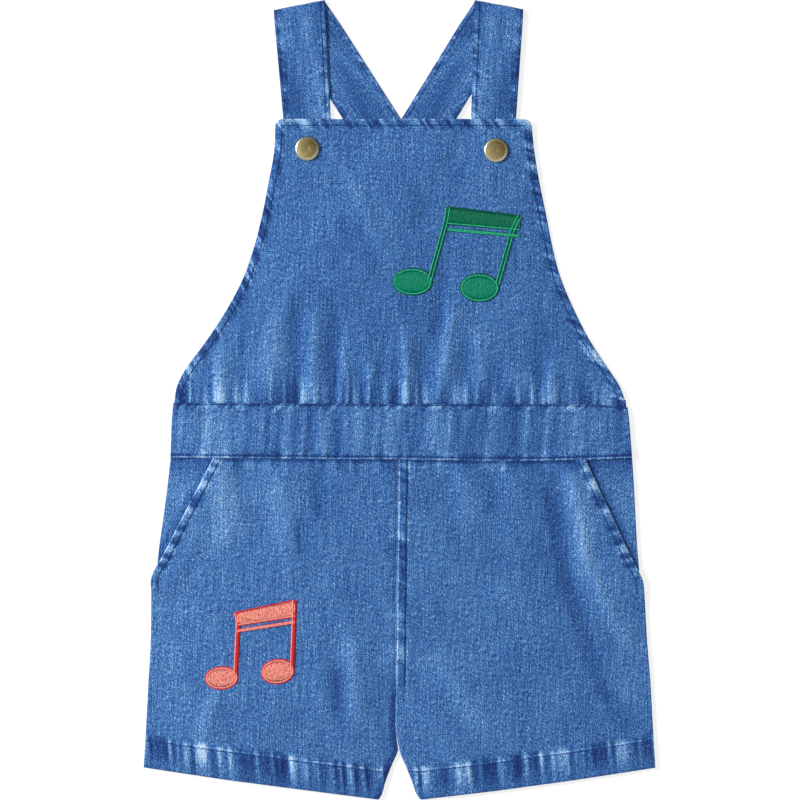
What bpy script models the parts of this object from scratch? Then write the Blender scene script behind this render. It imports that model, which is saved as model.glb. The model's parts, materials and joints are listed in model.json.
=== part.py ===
"""Child's denim overalls, laid flat with the front up: the construction solids.

Sizes and places are in millimetres, and MM turns them into metres. "Across" runs from the centre
seam to the right (+X), "up" from the middle of the garment towards the shoulders (+Y), and heights
are measured from the surface that it lies on (+Z). Left and right are those of someone who looks
down at the front. Each panel is a flat grid moved onto its outline and its fall, then thickened.
"""
import math
from collections import namedtuple

import bmesh
import bpy

MM = 0.001
COLLECTION = "denim_overalls"
WALL_LAYER = "wall"

# Cloth thicknesses, and the space that neighbouring pieces keep
CLOTH = 1.2
BAND_PLIES = 1.6
STRAP_PLIES = 1.4
GAP = 0.3

# Raised bands: turned hems, the stitched pocket edge and the felled centre seam
BIB_HEM = 5.2
LEG_HEM = 18.5
POCKET_BAND = 4.6
SEAM_BAND = 6.4
BAND_RISE = 0.5
BAND_STEP = 1.0

# The bib
BIB_TOP = 185.4
BIB_CORNER = 5.3

# Where the legs part, and how far the back panels stand in from the front outline
CROTCH_UP = -190.0
BACK_INSET = 0.7

# The waist seams: the bib meets the band on the upper one, the legs on the lower one
WaistSeam = namedtuple("WaistSeam", "across upper lower")
WAIST_SEAMS = (
    WaistSeam(-152.0, -2.0, -38.0),
    WaistSeam(-76.0, -2.4, -38.8),
    WaistSeam(0.0, -2.6, -39.4),
    WaistSeam(74.0, -2.8, -40.3),
    WaistSeam(130.0, -3.3, -39.2),
    WaistSeam(154.0, -5.0, -38.1),
)

# Sections across the garment: where the cloth ends on the left and on the right
Section = namedtuple("Section", "up left right")
BIB_SECTIONS = (
    Section(186.0, -82.0, 86.8),
    Section(165.0, -82.6, 88.9),
    Section(145.0, -86.1, 92.1),
    Section(120.0, -91.1, 97.2),
    Section(99.0, -96.6, 101.4),
    Section(80.0, -103.4, 106.6),
    Section(60.0, -113.8, 115.0),
    Section(40.0, -126.8, 125.2),
    Section(20.0, -141.4, 138.2),
    Section(9.0, -146.8, 145.3),
    Section(-3.0, -148.8, 149.6),
)
BAND_SECTIONS = (
    Section(-1.0, -149.2, 150.0),
    Section(-14.0, -150.3, 151.6),
    Section(-39.0, -151.1, 153.5),
)
HIP_SECTIONS = (
    Section(-37.0, -150.8, 153.4),
    Section(-59.0, -153.4, 154.8),
    Section(-79.0, -156.0, 155.8),
    Section(-99.0, -158.8, 157.0),
    Section(-124.0, -161.2, 159.2),
)
LEG_SECTIONS = (
    Section(-37.0, -122.2, 121.6),
    Section(-72.0, -140.4, 138.0),
    Section(-105.0, -157.5, 153.5),
    Section(-112.0, -161.9, 157.4),
    Section(-118.5, -164.1, 160.3),
    Section(-125.5, -163.8, 161.4),
    Section(-158.0, -164.1, 163.3),
    Section(-185.0, -165.6, 165.5),
    Section(-212.0, -167.0, 167.0),
    Section(-242.6, -168.8, 168.8),
)
# The centre seam, the edges that touch below the crotch, and the inseams down to the hem
INSEAM_SECTIONS = (
    Section(-37.0, -0.5, -0.1),
    Section(-181.0, -2.2, -1.8),
    Section(-196.0, -2.7, -2.3),
    Section(-212.0, -3.1, -2.7),
    Section(-224.0, -2.0, -1.5),
    Section(-230.5, -0.9, -0.1),
    Section(-234.0, -2.0, 0.8),
    Section(-240.0, -4.7, 3.5),
    Section(-251.0, -9.0, 8.0),
    Section(-260.0, -11.6, 11.2),
    Section(-263.7, -13.8, 14.0),
)
HemPoint = namedtuple("HemPoint", "across up")
LEG_HEM_LINE = (
    HemPoint(-168.8, -242.4),
    HemPoint(-111.0, -251.0),
    HemPoint(-14.0, -263.6),
    HemPoint(15.0, -263.6),
    HemPoint(64.0, -257.8),
    HemPoint(113.0, -251.1),
    HemPoint(168.8, -242.6),
)

# The slanted pocket mouths, and how far the side pieces run on under the leg panels
POCKET_UNDERLAP = 9.0
POCKET_FOOT_UP = -123.0
POCKET_MOUTHS = (((-123.1, -39.0), (-161.0, -112.0)), ((122.4, -39.0), (158.5, -115.5)))

# How the front layer lies: at its side edges, in its middle, and how far in the middle height is reached
Lie = namedtuple("Lie", "up edge middle slope")
FRONT_LIES = (
    Lie(186.0, 2.95, 2.95, 4.4),
    Lie(177.0, 1.70, 2.95, 4.4),
    Lie(149.0, 1.60, 2.95, 4.4),
    Lie(128.0, 0.30, 1.80, 22.0),
    Lie(40.0, 0.05, 1.80, 24.0),
    Lie(14.0, 0.60, 1.80, 24.0),
    Lie(2.0, 1.55, 1.85, 20.0),
    Lie(-45.0, 1.55, 1.55, 20.0),
    Lie(-270.0, 1.55, 1.55, 20.0),
)

# How much the loose cloth swells over what it lies on, and how far from an edge it does so fully
BIB_SWELL = 0.9
LEG_SWELL = 1.3
BAND_SWELL = 0.25
SWELL_REACH = 34.0

# Folds: a soft ridge, or a trough where the rise is negative, from its foot to its head
Fold = namedtuple("Fold", "foot_across foot_up head_across head_up width rise")
BIB_FOLDS = (
    Fold(-127.7, 2.0, -126.0, 30.0, 4.2, -0.8),
    Fold(-119.8, 0.0, -118.0, 34.0, 4.6, 0.8),
    Fold(-105.0, 6.0, -103.0, 64.0, 5.4, -0.9),
    Fold(-89.0, -2.0, -81.0, 56.0, 6.4, 0.9),
    Fold(-69.4, 0.0, -67.8, 62.0, 4.4, -1.0),
    Fold(-57.0, 0.0, -56.0, 62.0, 4.2, 1.0),
    Fold(-44.2, -2.0, -43.2, 68.0, 4.6, -1.2),
    Fold(-35.6, -2.0, -36.6, 34.0, 3.8, 0.9),
    Fold(-27.0, -2.0, -28.0, 22.0, 3.6, -0.5),
    Fold(-18.8, -2.0, -19.2, 24.0, 3.6, 0.7),
    Fold(-11.5, -2.0, -11.8, 30.0, 3.6, -0.8),
    Fold(-5.5, -2.0, -4.8, 18.0, 3.0, 0.4),
    Fold(-0.8, -2.0, -1.4, 30.0, 3.2, -0.8),
    Fold(4.6, -2.0, 4.0, 46.0, 3.8, 1.2),
    Fold(15.5, -2.0, 15.0, 40.0, 4.8, -0.8),
    Fold(26.7, 0.0, 36.0, 62.0, 4.4, 1.2),
    Fold(30.0, 86.0, 22.8, 40.0, 4.4, -0.8),
    Fold(41.5, -2.0, 44.5, 34.0, 4.6, -0.6),
    Fold(53.0, -2.0, 53.6, 44.0, 4.8, 0.8),
    Fold(64.0, -2.0, 65.0, 26.0, 4.4, -0.5),
    Fold(74.0, -2.0, 74.6, 22.0, 4.2, 0.5),
    Fold(85.5, -2.0, 86.5, 16.0, 4.2, 0.5),
    Fold(92.5, 6.0, 93.6, 60.0, 5.2, -0.8),
    Fold(99.3, -2.0, 100.0, 26.0, 4.2, 0.7),
    Fold(109.5, -2.0, 108.5, 18.0, 4.0, -0.4),
    Fold(119.8, 8.0, 119.0, 32.0, 4.4, -0.6),
    Fold(130.0, 0.0, 127.0, 20.0, 4.4, 0.5),
    Fold(-39.0, 158.0, -8.0, 92.0, 5.0, 0.6),
)
WAIST_FOLDS = (
    Fold(-58.0, -37.0, -59.0, -3.0, 3.0, -0.5),
    Fold(-50.0, -37.0, -51.0, -3.0, 3.0, 0.6),
    Fold(-42.0, -37.0, -43.5, -3.0, 3.0, -0.5),
    Fold(-34.0, -37.0, -35.0, -3.0, 3.0, 0.5),
    Fold(78.0, -29.0, 111.0, -29.0, 3.4, -0.4),
    Fold(-128.0, -12.0, -129.0, -3.0, 4.0, -0.4),
    Fold(-103.0, -13.0, -104.0, -3.0, 4.0, -0.4),
    Fold(2.0, -13.0, 3.0, -3.0, 4.0, 0.4),
    Fold(48.0, -12.0, 50.0, -3.0, 4.4, 0.4),
)
LEG_FOLDS = (
    Fold(100.0, -59.0, 111.2, -121.0, 6.0, -1.1),
    Fold(111.2, -121.0, 134.9, -190.7, 6.4, -1.2),
    Fold(134.9, -190.7, 154.8, -217.0, 6.0, -0.9),
    Fold(113.2, -50.0, 124.4, -110.0, 5.4, 1.1),
    Fold(124.4, -110.0, 154.8, -170.0, 5.6, 1.0),
    Fold(40.0, -44.0, 46.0, -84.0, 7.0, 0.7),
    Fold(58.0, -44.0, 62.0, -78.0, 6.0, -0.7),
    Fold(26.0, -170.0, 60.0, -226.0, 8.0, 0.6),
    Fold(-118.0, -40.0, -113.0, -95.0, 8.0, 0.9),
    Fold(-64.4, -78.0, -64.0, -104.0, 5.0, -0.8),
    Fold(-53.1, -48.0, -52.4, -80.0, 5.0, -0.8),
    Fold(-80.0, -46.0, -72.0, -110.0, 9.0, 0.7),
    Fold(-40.0, -178.0, -39.6, -210.0, 5.4, -1.0),
    Fold(-32.0, -160.0, -28.0, -215.0, 6.0, 0.8),
    Fold(-123.0, -195.0, -130.0, -222.0, 5.0, 0.8),
    Fold(-134.3, -238.0, -133.0, -248.0, 3.6, -0.5),
    Fold(-99.3, -238.0, -99.0, -254.0, 3.6, -0.6),
    Fold(-76.9, -240.0, -76.0, -254.0, 3.6, -0.7),
    Fold(-51.8, -243.0, -51.0, -257.0, 3.6, -0.5),
    Fold(-35.3, -244.0, -35.0, -258.0, 3.4, -0.5),
    Fold(48.0, -240.0, 49.0, -258.0, 3.6, -0.5),
    Fold(63.0, -240.0, 65.0, -256.0, 3.6, -0.6),
)

# Straps: the end under the bib, the fold at the shoulder and the end at the back waistband
STRAP_END_UP = 151.8
STRAP_BACK_END_UP = 0.3
STRAP_COLUMNS = 4
FOLD_RADIUS = 1.15
FOLD_STEPS = 8
StrapPlan = namedtuple("StrapPlan", "name end fold back_end rises")
# Each pair runs from the strap's outer edge to its inner edge on the front run
STRAP_PLANS = (
    StrapPlan("strap_left", (-73.6, -43.6), ((-83.2, 257.4), (-49.2, 264.1)), (80.4, 119.0), False),
    StrapPlan("strap_right", (74.6, 46.1), ((81.9, 258.0), (49.6, 264.0)), (-75.6, -112.6), True),
)
StrapHeight = namedtuple("StrapHeight", "up underside")
FRONT_RUN_HEIGHTS = (
    StrapHeight(264.0, 2.30),
    StrapHeight(252.0, 2.15),
    StrapHeight(230.0, 1.75),
    StrapHeight(198.0, 1.75),
    StrapHeight(186.0, 1.10),
    StrapHeight(150.0, 1.10),
)
CROSSING_HEIGHTS = (
    StrapHeight(264.0, 0.0),
    StrapHeight(206.0, 0.0),
    StrapHeight(188.0, 1.75),
    StrapHeight(122.0, 1.75),
    StrapHeight(100.0, 0.0),
    StrapHeight(0.0, 0.0),
)
FRONT_RUN_UPS = (151.8, 160.0, 170.0, 180.0, 186.0, 192.0, 198.0, 208.0, 220.0, 235.0, 250.0)
BACK_RUN_UPS = (
    246.0, 230.0, 216.0, 206.0, 200.0, 194.0, 188.0, 176.0, 162.0, 147.0,
    133.0, 122.0, 114.0, 107.0, 100.0, 84.0, 62.0, 40.0, 20.0, 0.3,
)

# Press studs: turned profiles from the top down, as radius and height
SNAP_PLACES = (("left", -60.9, 165.7), ("right", 63.5, 164.6))
CAP_PROFILE = (
    (0.0, 1.75), (1.5, 1.95), (5.8, 2.1), (6.9, 2.25), (7.6, 1.85), (8.1, 1.0), (7.9, 0.3),
    (7.2, 0.0), (0.0, 0.0),
)
STUD_PROFILE = ((2.2, 0.6), (3.0, 0.8), (5.2, 0.8), (5.8, 0.4), (5.4, 0.0), (2.2, 0.0))
CAP_STEPS = 24
STUD_STEPS = 20

# Grid rows and columns
BIB_ROWS = (
    0.0, 2.2, 5.2, 6.2, 17.0, 30.0, 43.0, 57.0, 73.0, 89.0, 103.0, 115.0, 125.0, 135.0, 144.0,
    152.0, 160.0, 167.0, 174.0, 181.0, 188.0,
)
FOLD_COLUMN_SPACE = 8.5
BAND_ROWS = (0.0, 0.12, 0.35, 0.65, 0.88, 1.0)
BAND_COLUMNS = 40
LEG_ROWS = (
    0.0, 0.05, 0.1, 0.16, 0.22, 0.28, 0.34, 0.375, 0.41, 0.44, 0.5, 0.56, 0.62, 0.68, 0.74, 0.8,
    0.86, 0.92, 0.96, 0.995, 1.0, 1.3, 1.65, 2.0,
)
LEG_COLUMNS = 16
BACK_COLUMNS = 3
HIP_ROWS = tuple(i / 12.0 for i in range(13))
HIP_COLUMNS = 5

# Colours, roughness and metallic values
DENIM = ((0.075, 0.155, 0.41, 1.0), 0.85, 0.0)
DENIM_INSIDE = ((0.10, 0.19, 0.43, 1.0), 0.9, 0.0)
BRASS = ((0.36, 0.29, 0.15, 1.0), 0.35, 1.0)


def smoothstep(value):
    """A soft rise from 0 to 1, for a value between 0 and 1."""
    value = min(1.0, max(0.0, value))
    return value * value * (3.0 - 2.0 * value)


def read(table, key, column, place):
    """The column's value at a place along the key: a smooth curve through the table's rows."""
    rows = sorted(table, key=lambda row: getattr(row, key))
    keys = [getattr(row, key) for row in rows]
    values = [getattr(row, column) for row in rows]
    place = min(keys[-1], max(keys[0], place))
    index = max(i for i in range(len(keys) - 1) if keys[i] <= place)

    def slope(i):
        low, high = max(i - 1, 0), min(i + 1, len(keys) - 1)
        return (values[high] - values[low]) / (keys[high] - keys[low])

    span = keys[index + 1] - keys[index]
    t = (place - keys[index]) / span
    start = (1.0 + 2.0 * t) * (1.0 - t) ** 2 * values[index]
    start += t * (1.0 - t) ** 2 * span * slope(index)
    finish = t * t * (3.0 - 2.0 * t) * values[index + 1]
    finish += t * t * (t - 1.0) * span * slope(index + 1)
    return start + finish


def read_straight(table, key, column, place):
    """The column's value at a place along the key, on straight lines between the rows."""
    rows = sorted(table, key=lambda row: getattr(row, key))
    for low, high in zip(rows, rows[1:]):
        if place <= getattr(high, key):
            break
    span = getattr(high, key) - getattr(low, key)
    t = min(1.0, max(0.0, (place - getattr(low, key)) / span))
    return getattr(low, column) + (getattr(high, column) - getattr(low, column)) * t


def relief(folds, across, up):
    """The sum of the folds at a point: each is highest on its line and fades at its two ends."""
    total = 0.0
    for fold in folds:
        run_across = fold.head_across - fold.foot_across
        run_up = fold.head_up - fold.foot_up
        length = math.hypot(run_across, run_up)
        along = (across - fold.foot_across) * run_across + (up - fold.foot_up) * run_up
        along /= length * length
        aside = (across - fold.foot_across) * run_up - (up - fold.foot_up) * run_across
        aside /= length
        fade = smoothstep((along + 0.25) / 0.4) * smoothstep((1.2 - along) / 0.45)
        total += fold.rise * fade * math.exp(-((aside / fold.width) ** 2))
    return total


def waist_seam(which, across):
    """How far up the upper or the lower waist seam lies, at a place across."""
    return read(WAIST_SEAMS, "across", which, across)


def hem_line(across):
    """How far up the legs' bottom edge lies, at a place across."""
    return read_straight(LEG_HEM_LINE, "across", "up", across)


def plateau(distance, core, fall):
    """1 within the core distance, falling softly to 0 over the next stretch."""
    return 1.0 - smoothstep((distance - core) / fall)


def strap_span(plan, up, front):
    """The strap's two edges at a height up the garment, on its front or its back run."""
    end_up = STRAP_END_UP if front else STRAP_BACK_END_UP
    ends = plan.end if front else plan.back_end
    edges = []
    for end, (fold_across, fold_up) in zip(ends, plan.fold):
        edges.append(end + (fold_across - end) * (up - end_up) / (fold_up - end_up))
    return edges


def back_run_height(plan, up):
    """The underside of a strap's back run: one strap rises where it crosses over the other."""
    return read_straight(CROSSING_HEIGHTS, "up", "underside", up) if plan.rises else 0.0


def over_straps(across, up):
    """The lowest that the bib may lie over the straps behind it."""
    height = 0.0
    for plan in STRAP_PLANS:
        for front, fall in ((False, 16.0), (True, 4.0)):
            first, second = strap_span(plan, up, front)
            beside = abs(across - 0.5 * (first + second)) - 0.5 * abs(first - second)
            if front:
                top = FRONT_RUN_HEIGHTS[-1].underside + STRAP_PLIES + 2.0 * GAP
                top *= plateau(STRAP_END_UP - up, 3.0, 14.0)
            else:
                top = back_run_height(plan, up) + STRAP_PLIES + 2.0 * GAP
            height = max(height, top * plateau(beside, 1.5, fall))
    return height


def pocket_lift(across, up):
    """How much the front cloth is lifted by the pocket side pieces beneath it."""
    lift = 0.0
    for (top_across, top_up), (foot_across, foot_up) in POCKET_MOUTHS:
        side = 1.0 if top_across > 0.0 else -1.0
        mouth = top_across + (foot_across - top_across) * (up - top_up) / (foot_up - top_up)
        inside = side * (mouth - across)
        beyond = max(0.0, up - waist_seam("lower", across), POCKET_FOOT_UP - 1.5 - up)
        share = plateau(inside, POCKET_UNDERLAP + 3.0, 16.0) * plateau(beyond, 0.0, 14.0)
        lift = max(lift, share)
    return lift * (CLOTH + GAP)


def outline(side, up):
    """Where the garment ends below the waist: the hip pieces down to the pocket's foot."""
    foot_up = POCKET_MOUTHS[0 if side == "left" else 1][1][1]
    return read(HIP_SECTIONS if up > foot_up else LEG_SECTIONS, "up", side, up)


def slit_distance(across, up):
    """The distance from the edges that part the two legs."""
    if up > CROTCH_UP:
        seam = read(INSEAM_SECTIONS, "up", "left", CROTCH_UP)
        return math.hypot(across - seam, up - CROTCH_UP)
    left = read(INSEAM_SECTIONS, "up", "left", up)
    right = read(INSEAM_SECTIONS, "up", "right", up)
    return min(abs(across - left), abs(across - right))


def bib_swell(up):
    """How much the bib swells at a height up: not at all where the snaps hold it down."""
    return BIB_SWELL * smoothstep((STRAP_END_UP - up) / 30.0)


def front_underside(across, up, edge, folds, swell):
    """The underside of the front layer, a given distance inside the outline."""
    low = read_straight(FRONT_LIES, "up", "edge", up)
    high = read_straight(FRONT_LIES, "up", "middle", up)
    slope = read_straight(FRONT_LIES, "up", "slope", up)
    rest = low + (high - low) * smoothstep(edge / slope)
    if up > STRAP_BACK_END_UP - 1.0:
        rest = max(rest, over_straps(across, up))
    loose = swell * smoothstep(edge / SWELL_REACH) + relief(folds, across, up)
    return rest + max(0.0, loose)


def leg_underside(side, across, up):
    """The underside of the front layer on a leg or a hip, before the pocket lifts it."""
    edge = min(abs(across - outline(side, up)), slit_distance(across, up))
    return front_underside(across, up, edge, LEG_FOLDS, LEG_SWELL)


def piece(name, mesh, finish):
    """Put a mesh in the scene as a named object with a material of its own."""
    colour, roughness, metallic = finish
    material = bpy.data.materials.new(name + "_finish")
    material.use_nodes = True
    shader = material.node_tree.nodes["Principled BSDF"]
    shader.inputs["Base Color"].default_value = colour
    shader.inputs["Roughness"].default_value = roughness
    shader.inputs["Metallic"].default_value = metallic
    mesh.materials.append(material)
    part = bpy.data.objects.new(name, mesh)
    bpy.data.collections[COLLECTION].objects.link(part)
    mesh.shade_smooth()
    mesh.set_sharp_from_angle(angle=math.radians(50.0))
    return part


def grid_of(columns, rows):
    """A flat grid, and each of its points with its column's and its row's number."""
    grid = bmesh.new()
    grid.verts.layers.float.new(WALL_LAYER)
    bmesh.ops.create_grid(grid, x_segments=columns - 1, y_segments=rows - 1, size=1.0)
    numbered = []
    for point in grid.verts:
        column = round((point.co.x + 1.0) / 2.0 * (columns - 1))
        row = round((1.0 - point.co.y) / 2.0 * (rows - 1))
        numbered.append((point, column, row))
    return grid, numbered


def panel(name, left, right, level, rows, bands, between, underside, thickness, finish=DENIM):
    """A cloth panel between two edges: a grid on its underside, raised to its thickness.

    left and right give the edges' places across, at a height up. level gives the height up of a
    row, at a place across. bands are distances from both edges, and between the shares of the
    rest, where columns stand. underside and thickness take the place and the two distances to the
    edges, and the thickness takes the row too.
    """
    columns = 2 * len(bands) + len(between)
    grid, numbered = grid_of(columns, len(rows))
    wall = grid.verts.layers.float[WALL_LAYER]
    for point, column, row_number in numbered:
        row = rows[row_number]
        ends = []
        for edge in (left, right):
            across = edge(level(row, 0.0))
            for _ in range(4):
                across = edge(level(row, across))
            ends.append(across)
        width = ends[1] - ends[0]
        shares = [band / width for band in bands]
        inner = 1.0 - 2.0 * shares[-1]
        shares += [shares[len(bands) - 1] + inner * share for share in between]
        shares += [1.0 - band / width for band in reversed(bands)]
        across = ends[0] + width * shares[column]
        up = level(row, across)
        from_left, from_right = across - ends[0], ends[1] - across
        height = underside(across, up, from_left, from_right)
        point.co = (across * MM, up * MM, height * MM)
        point[wall] = thickness(across, up, from_left, from_right, row) * MM
    raised = bmesh.ops.extrude_face_region(grid, geom=grid.faces[:])
    for point in raised["geom"]:
        if isinstance(point, bmesh.types.BMVert):
            point.co.z += point[wall]
    bmesh.ops.recalc_face_normals(grid, faces=grid.faces)
    mesh = bpy.data.meshes.new(name)
    grid.to_mesh(mesh)
    grid.free()
    return piece(name, mesh, finish)


def on_the_floor(across, up, from_left, from_right):
    """The flat underside of what rests on the surface."""
    return 0.0


def one_ply(across, up, from_left, from_right, row):
    """The thickness of a plain panel."""
    return CLOTH


def even_shares(count):
    """Shares that divide a width evenly, without its two ends."""
    return [(i + 1) / (count + 1) for i in range(count)]


def fold_shares():
    """Shares of the bib's width where its gathers start, with more between wide neighbours."""
    start, finish = BIB_SECTIONS[-1].left + BIB_HEM, BIB_SECTIONS[-1].right - BIB_HEM
    feet = sorted(fold.foot_across for fold in BIB_FOLDS if fold.foot_up < 20.0)
    places = []
    for low, high in zip([start] + feet, feet + [finish]):
        count = max(1, round((high - low) / FOLD_COLUMN_SPACE))
        places += [low + (high - low) * i / count for i in range(count)]
    return [(place - start) / (finish - start) for place in places if place > start + 3.0]


def rounded_corner(up):
    """How far a bib edge stands in near its rounded top corner."""
    down = BIB_TOP - up
    if down >= BIB_CORNER:
        return 0.0
    return BIB_CORNER - math.sqrt(BIB_CORNER ** 2 - (BIB_CORNER - down) ** 2)


def build_bib():
    """The gathered bib, with a raised hem along its top and its sides."""
    def left(up):
        return read(BIB_SECTIONS, "up", "left", up) + rounded_corner(up)

    def right(up):
        return read(BIB_SECTIONS, "up", "right", up) - rounded_corner(up)

    def level(row, across):
        foot = waist_seam("upper", across) + 0.5 * GAP
        return BIB_TOP + (foot - BIB_TOP) * row / BIB_ROWS[-1]

    def underside(across, up, from_left, from_right):
        edge = min(from_left, from_right)
        return front_underside(across, up, edge, BIB_FOLDS, bib_swell(up))

    def thickness(across, up, from_left, from_right, row):
        edge = min(from_left, from_right, BIB_TOP - up)
        return CLOTH + (BAND_RISE if edge <= BIB_HEM + 0.2 else 0.0)

    bands = (0.0, BIB_HEM, BIB_HEM + BAND_STEP)
    panel("front_bib", left, right, level, BIB_ROWS, bands, fold_shares(), underside, thickness)


def build_waistbands():
    """The front band over the back band, each between the two waist seams."""
    def level(row, across):
        top = waist_seam("upper", across) - 0.5 * GAP
        foot = waist_seam("lower", across) + 0.5 * GAP
        return top + (foot - top) * row

    def front(across, up, from_left, from_right):
        edge = min(from_left, from_right)
        height = front_underside(across, up, edge, WAIST_FOLDS, BAND_SWELL)
        return height + pocket_lift(across, up)

    panel(
        "waistband_front",
        lambda up: read(BAND_SECTIONS, "up", "left", up),
        lambda up: read(BAND_SECTIONS, "up", "right", up),
        level, BAND_ROWS, (0.0, 3.0), even_shares(BAND_COLUMNS), front,
        lambda across, up, from_left, from_right, row: BAND_PLIES,
    )
    panel(
        "waistband_back",
        lambda up: read(BAND_SECTIONS, "up", "left", up) + BACK_INSET,
        lambda up: read(BAND_SECTIONS, "up", "right", up) - BACK_INSET,
        lambda row, across: (waist_seam("lower", across) + GAP) * row - 0.5 * GAP,
        (0.0, 0.5, 1.0), (0.0,), even_shares(BACK_COLUMNS * 2), on_the_floor, one_ply,
        DENIM_INSIDE,
    )


def leg_level(row, across):
    """The height up of a leg's row: 0 to 1 run down to the hem's upper edge, 1 to 2 cross it."""
    top = waist_seam("lower", across) - 0.5 * GAP
    hem = hem_line(across) + LEG_HEM
    if row <= 1.0:
        return top + (hem - top) * row
    return hem - LEG_HEM * (row - 1.0)


def build_leg(side):
    """A front leg over its back leg. Both share the centre seam and the inseam."""
    is_left = side == "left"
    inward = 1.0 if is_left else -1.0

    def outer_edge(up):
        return read(LEG_SECTIONS, "up", side, up)

    def inner_edge(up):
        return read(INSEAM_SECTIONS, "up", side, up)

    def back_outer_edge(up):
        return outline(side, up) + inward * BACK_INSET

    def back_inner_edge(up):
        return inner_edge(up) - inward * BACK_INSET * smoothstep((CROTCH_UP - up) / 20.0)

    def underside(across, up, from_left, from_right):
        return leg_underside(side, across, up) + pocket_lift(across, up)

    def thickness(across, up, from_left, from_right, row):
        outer, inner = (from_left, from_right) if is_left else (from_right, from_left)
        mouth = outer <= POCKET_BAND + 0.2 and up > POCKET_FOOT_UP
        felled = not is_left and inner <= SEAM_BAND + 0.2 and up > CROTCH_UP
        return CLOTH + (BAND_RISE if row >= 1.0 or mouth or felled else 0.0)

    def back_level(row, across):
        return leg_level(row, across) + BACK_INSET * max(0.0, row - 1.0)

    front = (outer_edge, inner_edge) if is_left else (inner_edge, outer_edge)
    back = (back_outer_edge, back_inner_edge) if is_left else (back_inner_edge, back_outer_edge)
    bands = (0.0, POCKET_BAND, SEAM_BAND, SEAM_BAND + BAND_STEP)
    panel(
        "leg_front_" + side, front[0], front[1], leg_level, LEG_ROWS, bands,
        even_shares(LEG_COLUMNS), underside, thickness,
    )
    panel(
        "leg_back_" + side, back[0], back[1], back_level, LEG_ROWS[::2] + (2.0,), (0.0,),
        even_shares(BACK_COLUMNS), on_the_floor, one_ply, DENIM_INSIDE,
    )


def build_pocket_side(side, mouth):
    """The hip piece that shows beyond a slanted pocket mouth, and runs on under the leg."""
    (top_across, top_up), (foot_across, foot_up) = mouth
    is_left = side == "left"
    underlap = POCKET_UNDERLAP if is_left else -POCKET_UNDERLAP

    def outer_edge(up):
        return read(HIP_SECTIONS, "up", side, up)

    def inner_edge(up):
        share = (up - top_up) / (foot_up - top_up)
        return top_across + (foot_across - top_across) * share + underlap

    def level(row, across):
        top = waist_seam("lower", across) - 0.5 * GAP
        return top + (POCKET_FOOT_UP - top) * row

    def underside(across, up, from_left, from_right):
        return leg_underside(side, across, up)

    edges = (outer_edge, inner_edge) if is_left else (inner_edge, outer_edge)
    panel(
        "pocket_side_" + side, edges[0], edges[1], level, HIP_ROWS, (0.0,),
        even_shares(HIP_COLUMNS), underside, one_ply,
    )


def strap_rows(plan):
    """The strap's middle surface, row by row: both edges of each row, and its height."""
    half = 0.5 * STRAP_PLIES
    outer, inner = plan.fold
    length = math.hypot(inner[0] - outer[0], inner[1] - outer[1])
    inward = (-(inner[1] - outer[1]) / length, (inner[0] - outer[0]) / length)
    if inward[1] > 0.0:
        inward = (-inward[0], -inward[1])
    rows = []
    for up in FRONT_RUN_UPS:
        height = read_straight(FRONT_RUN_HEIGHTS, "up", "underside", up) + half
        first, second = strap_span(plan, up, True)
        rows.append(((first, up), (second, up), height))
    # Towards the shoulder the rows turn from level to the fold's own slant
    back_in = FOLD_RADIUS + half
    for step in range(FOLD_STEPS + 1):
        angle = math.pi * (0.5 - step / FOLD_STEPS)
        inset = back_in - FOLD_RADIUS * math.cos(angle)
        height = half + FOLD_RADIUS + FOLD_RADIUS * math.sin(angle)
        points = [(x + inward[0] * inset, y + inward[1] * inset) for x, y in plan.fold]
        rows.append((points[0], points[1], height))
    for up in BACK_RUN_UPS:
        first, second = strap_span(plan, up, False)
        rows.append(((first, up), (second, up), back_run_height(plan, up) + half))
    return rows


def build_straps():
    """Two straps, each one band from the back waistband over the shoulder to the bib."""
    for plan in STRAP_PLANS:
        rows = strap_rows(plan)
        grid, numbered = grid_of(STRAP_COLUMNS + 1, len(rows))
        for point, column, row in numbered:
            outer, inner, height = rows[row]
            share = column / STRAP_COLUMNS
            across = outer[0] + (inner[0] - outer[0]) * share
            up = outer[1] + (inner[1] - outer[1]) * share
            point.co = (across * MM, up * MM, height * MM)
        bmesh.ops.recalc_face_normals(grid, faces=grid.faces)
        mesh = bpy.data.meshes.new(plan.name)
        grid.to_mesh(mesh)
        grid.free()
        strap = piece(plan.name, mesh, DENIM)
        thicken = strap.modifiers.new("plies", "SOLIDIFY")
        thicken.thickness = STRAP_PLIES * MM
        thicken.offset = 0.0
        thicken.use_even_offset = True


def turned(name, profile, closed, steps, place):
    """A turned piece: its profile, from the top down its outer side, with a Screw modifier."""
    mesh = bpy.data.meshes.new(name)
    points = [(radius * MM, 0.0, height * MM) for radius, height in profile]
    edges = [(i, i + 1) for i in range(len(points) - 1)]
    if closed:
        edges.append((len(points) - 1, 0))
    mesh.from_pydata(points, edges, [])
    part = piece(name, mesh, BRASS)
    part.location = [value * MM for value in place]
    screw = part.modifiers.new("turn", "SCREW")
    screw.axis = "Z"
    screw.steps = steps
    screw.render_steps = steps
    screw.use_merge_vertices = True
    screw.merge_threshold = 0.00001
    screw.use_smooth_shade = True


def build_studs():
    """Press studs: a cap on the bib and a ring under the strap's end, on one line."""
    for side, across, up in SNAP_PLACES:
        seat = read_straight(FRONT_LIES, "up", "middle", up) + CLOTH + GAP
        turned("snap_" + side, CAP_PROFILE, False, CAP_STEPS, (across, up, seat))
        turned("stud_" + side, STUD_PROFILE, True, STUD_STEPS, (across, up, 0.0))


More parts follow.
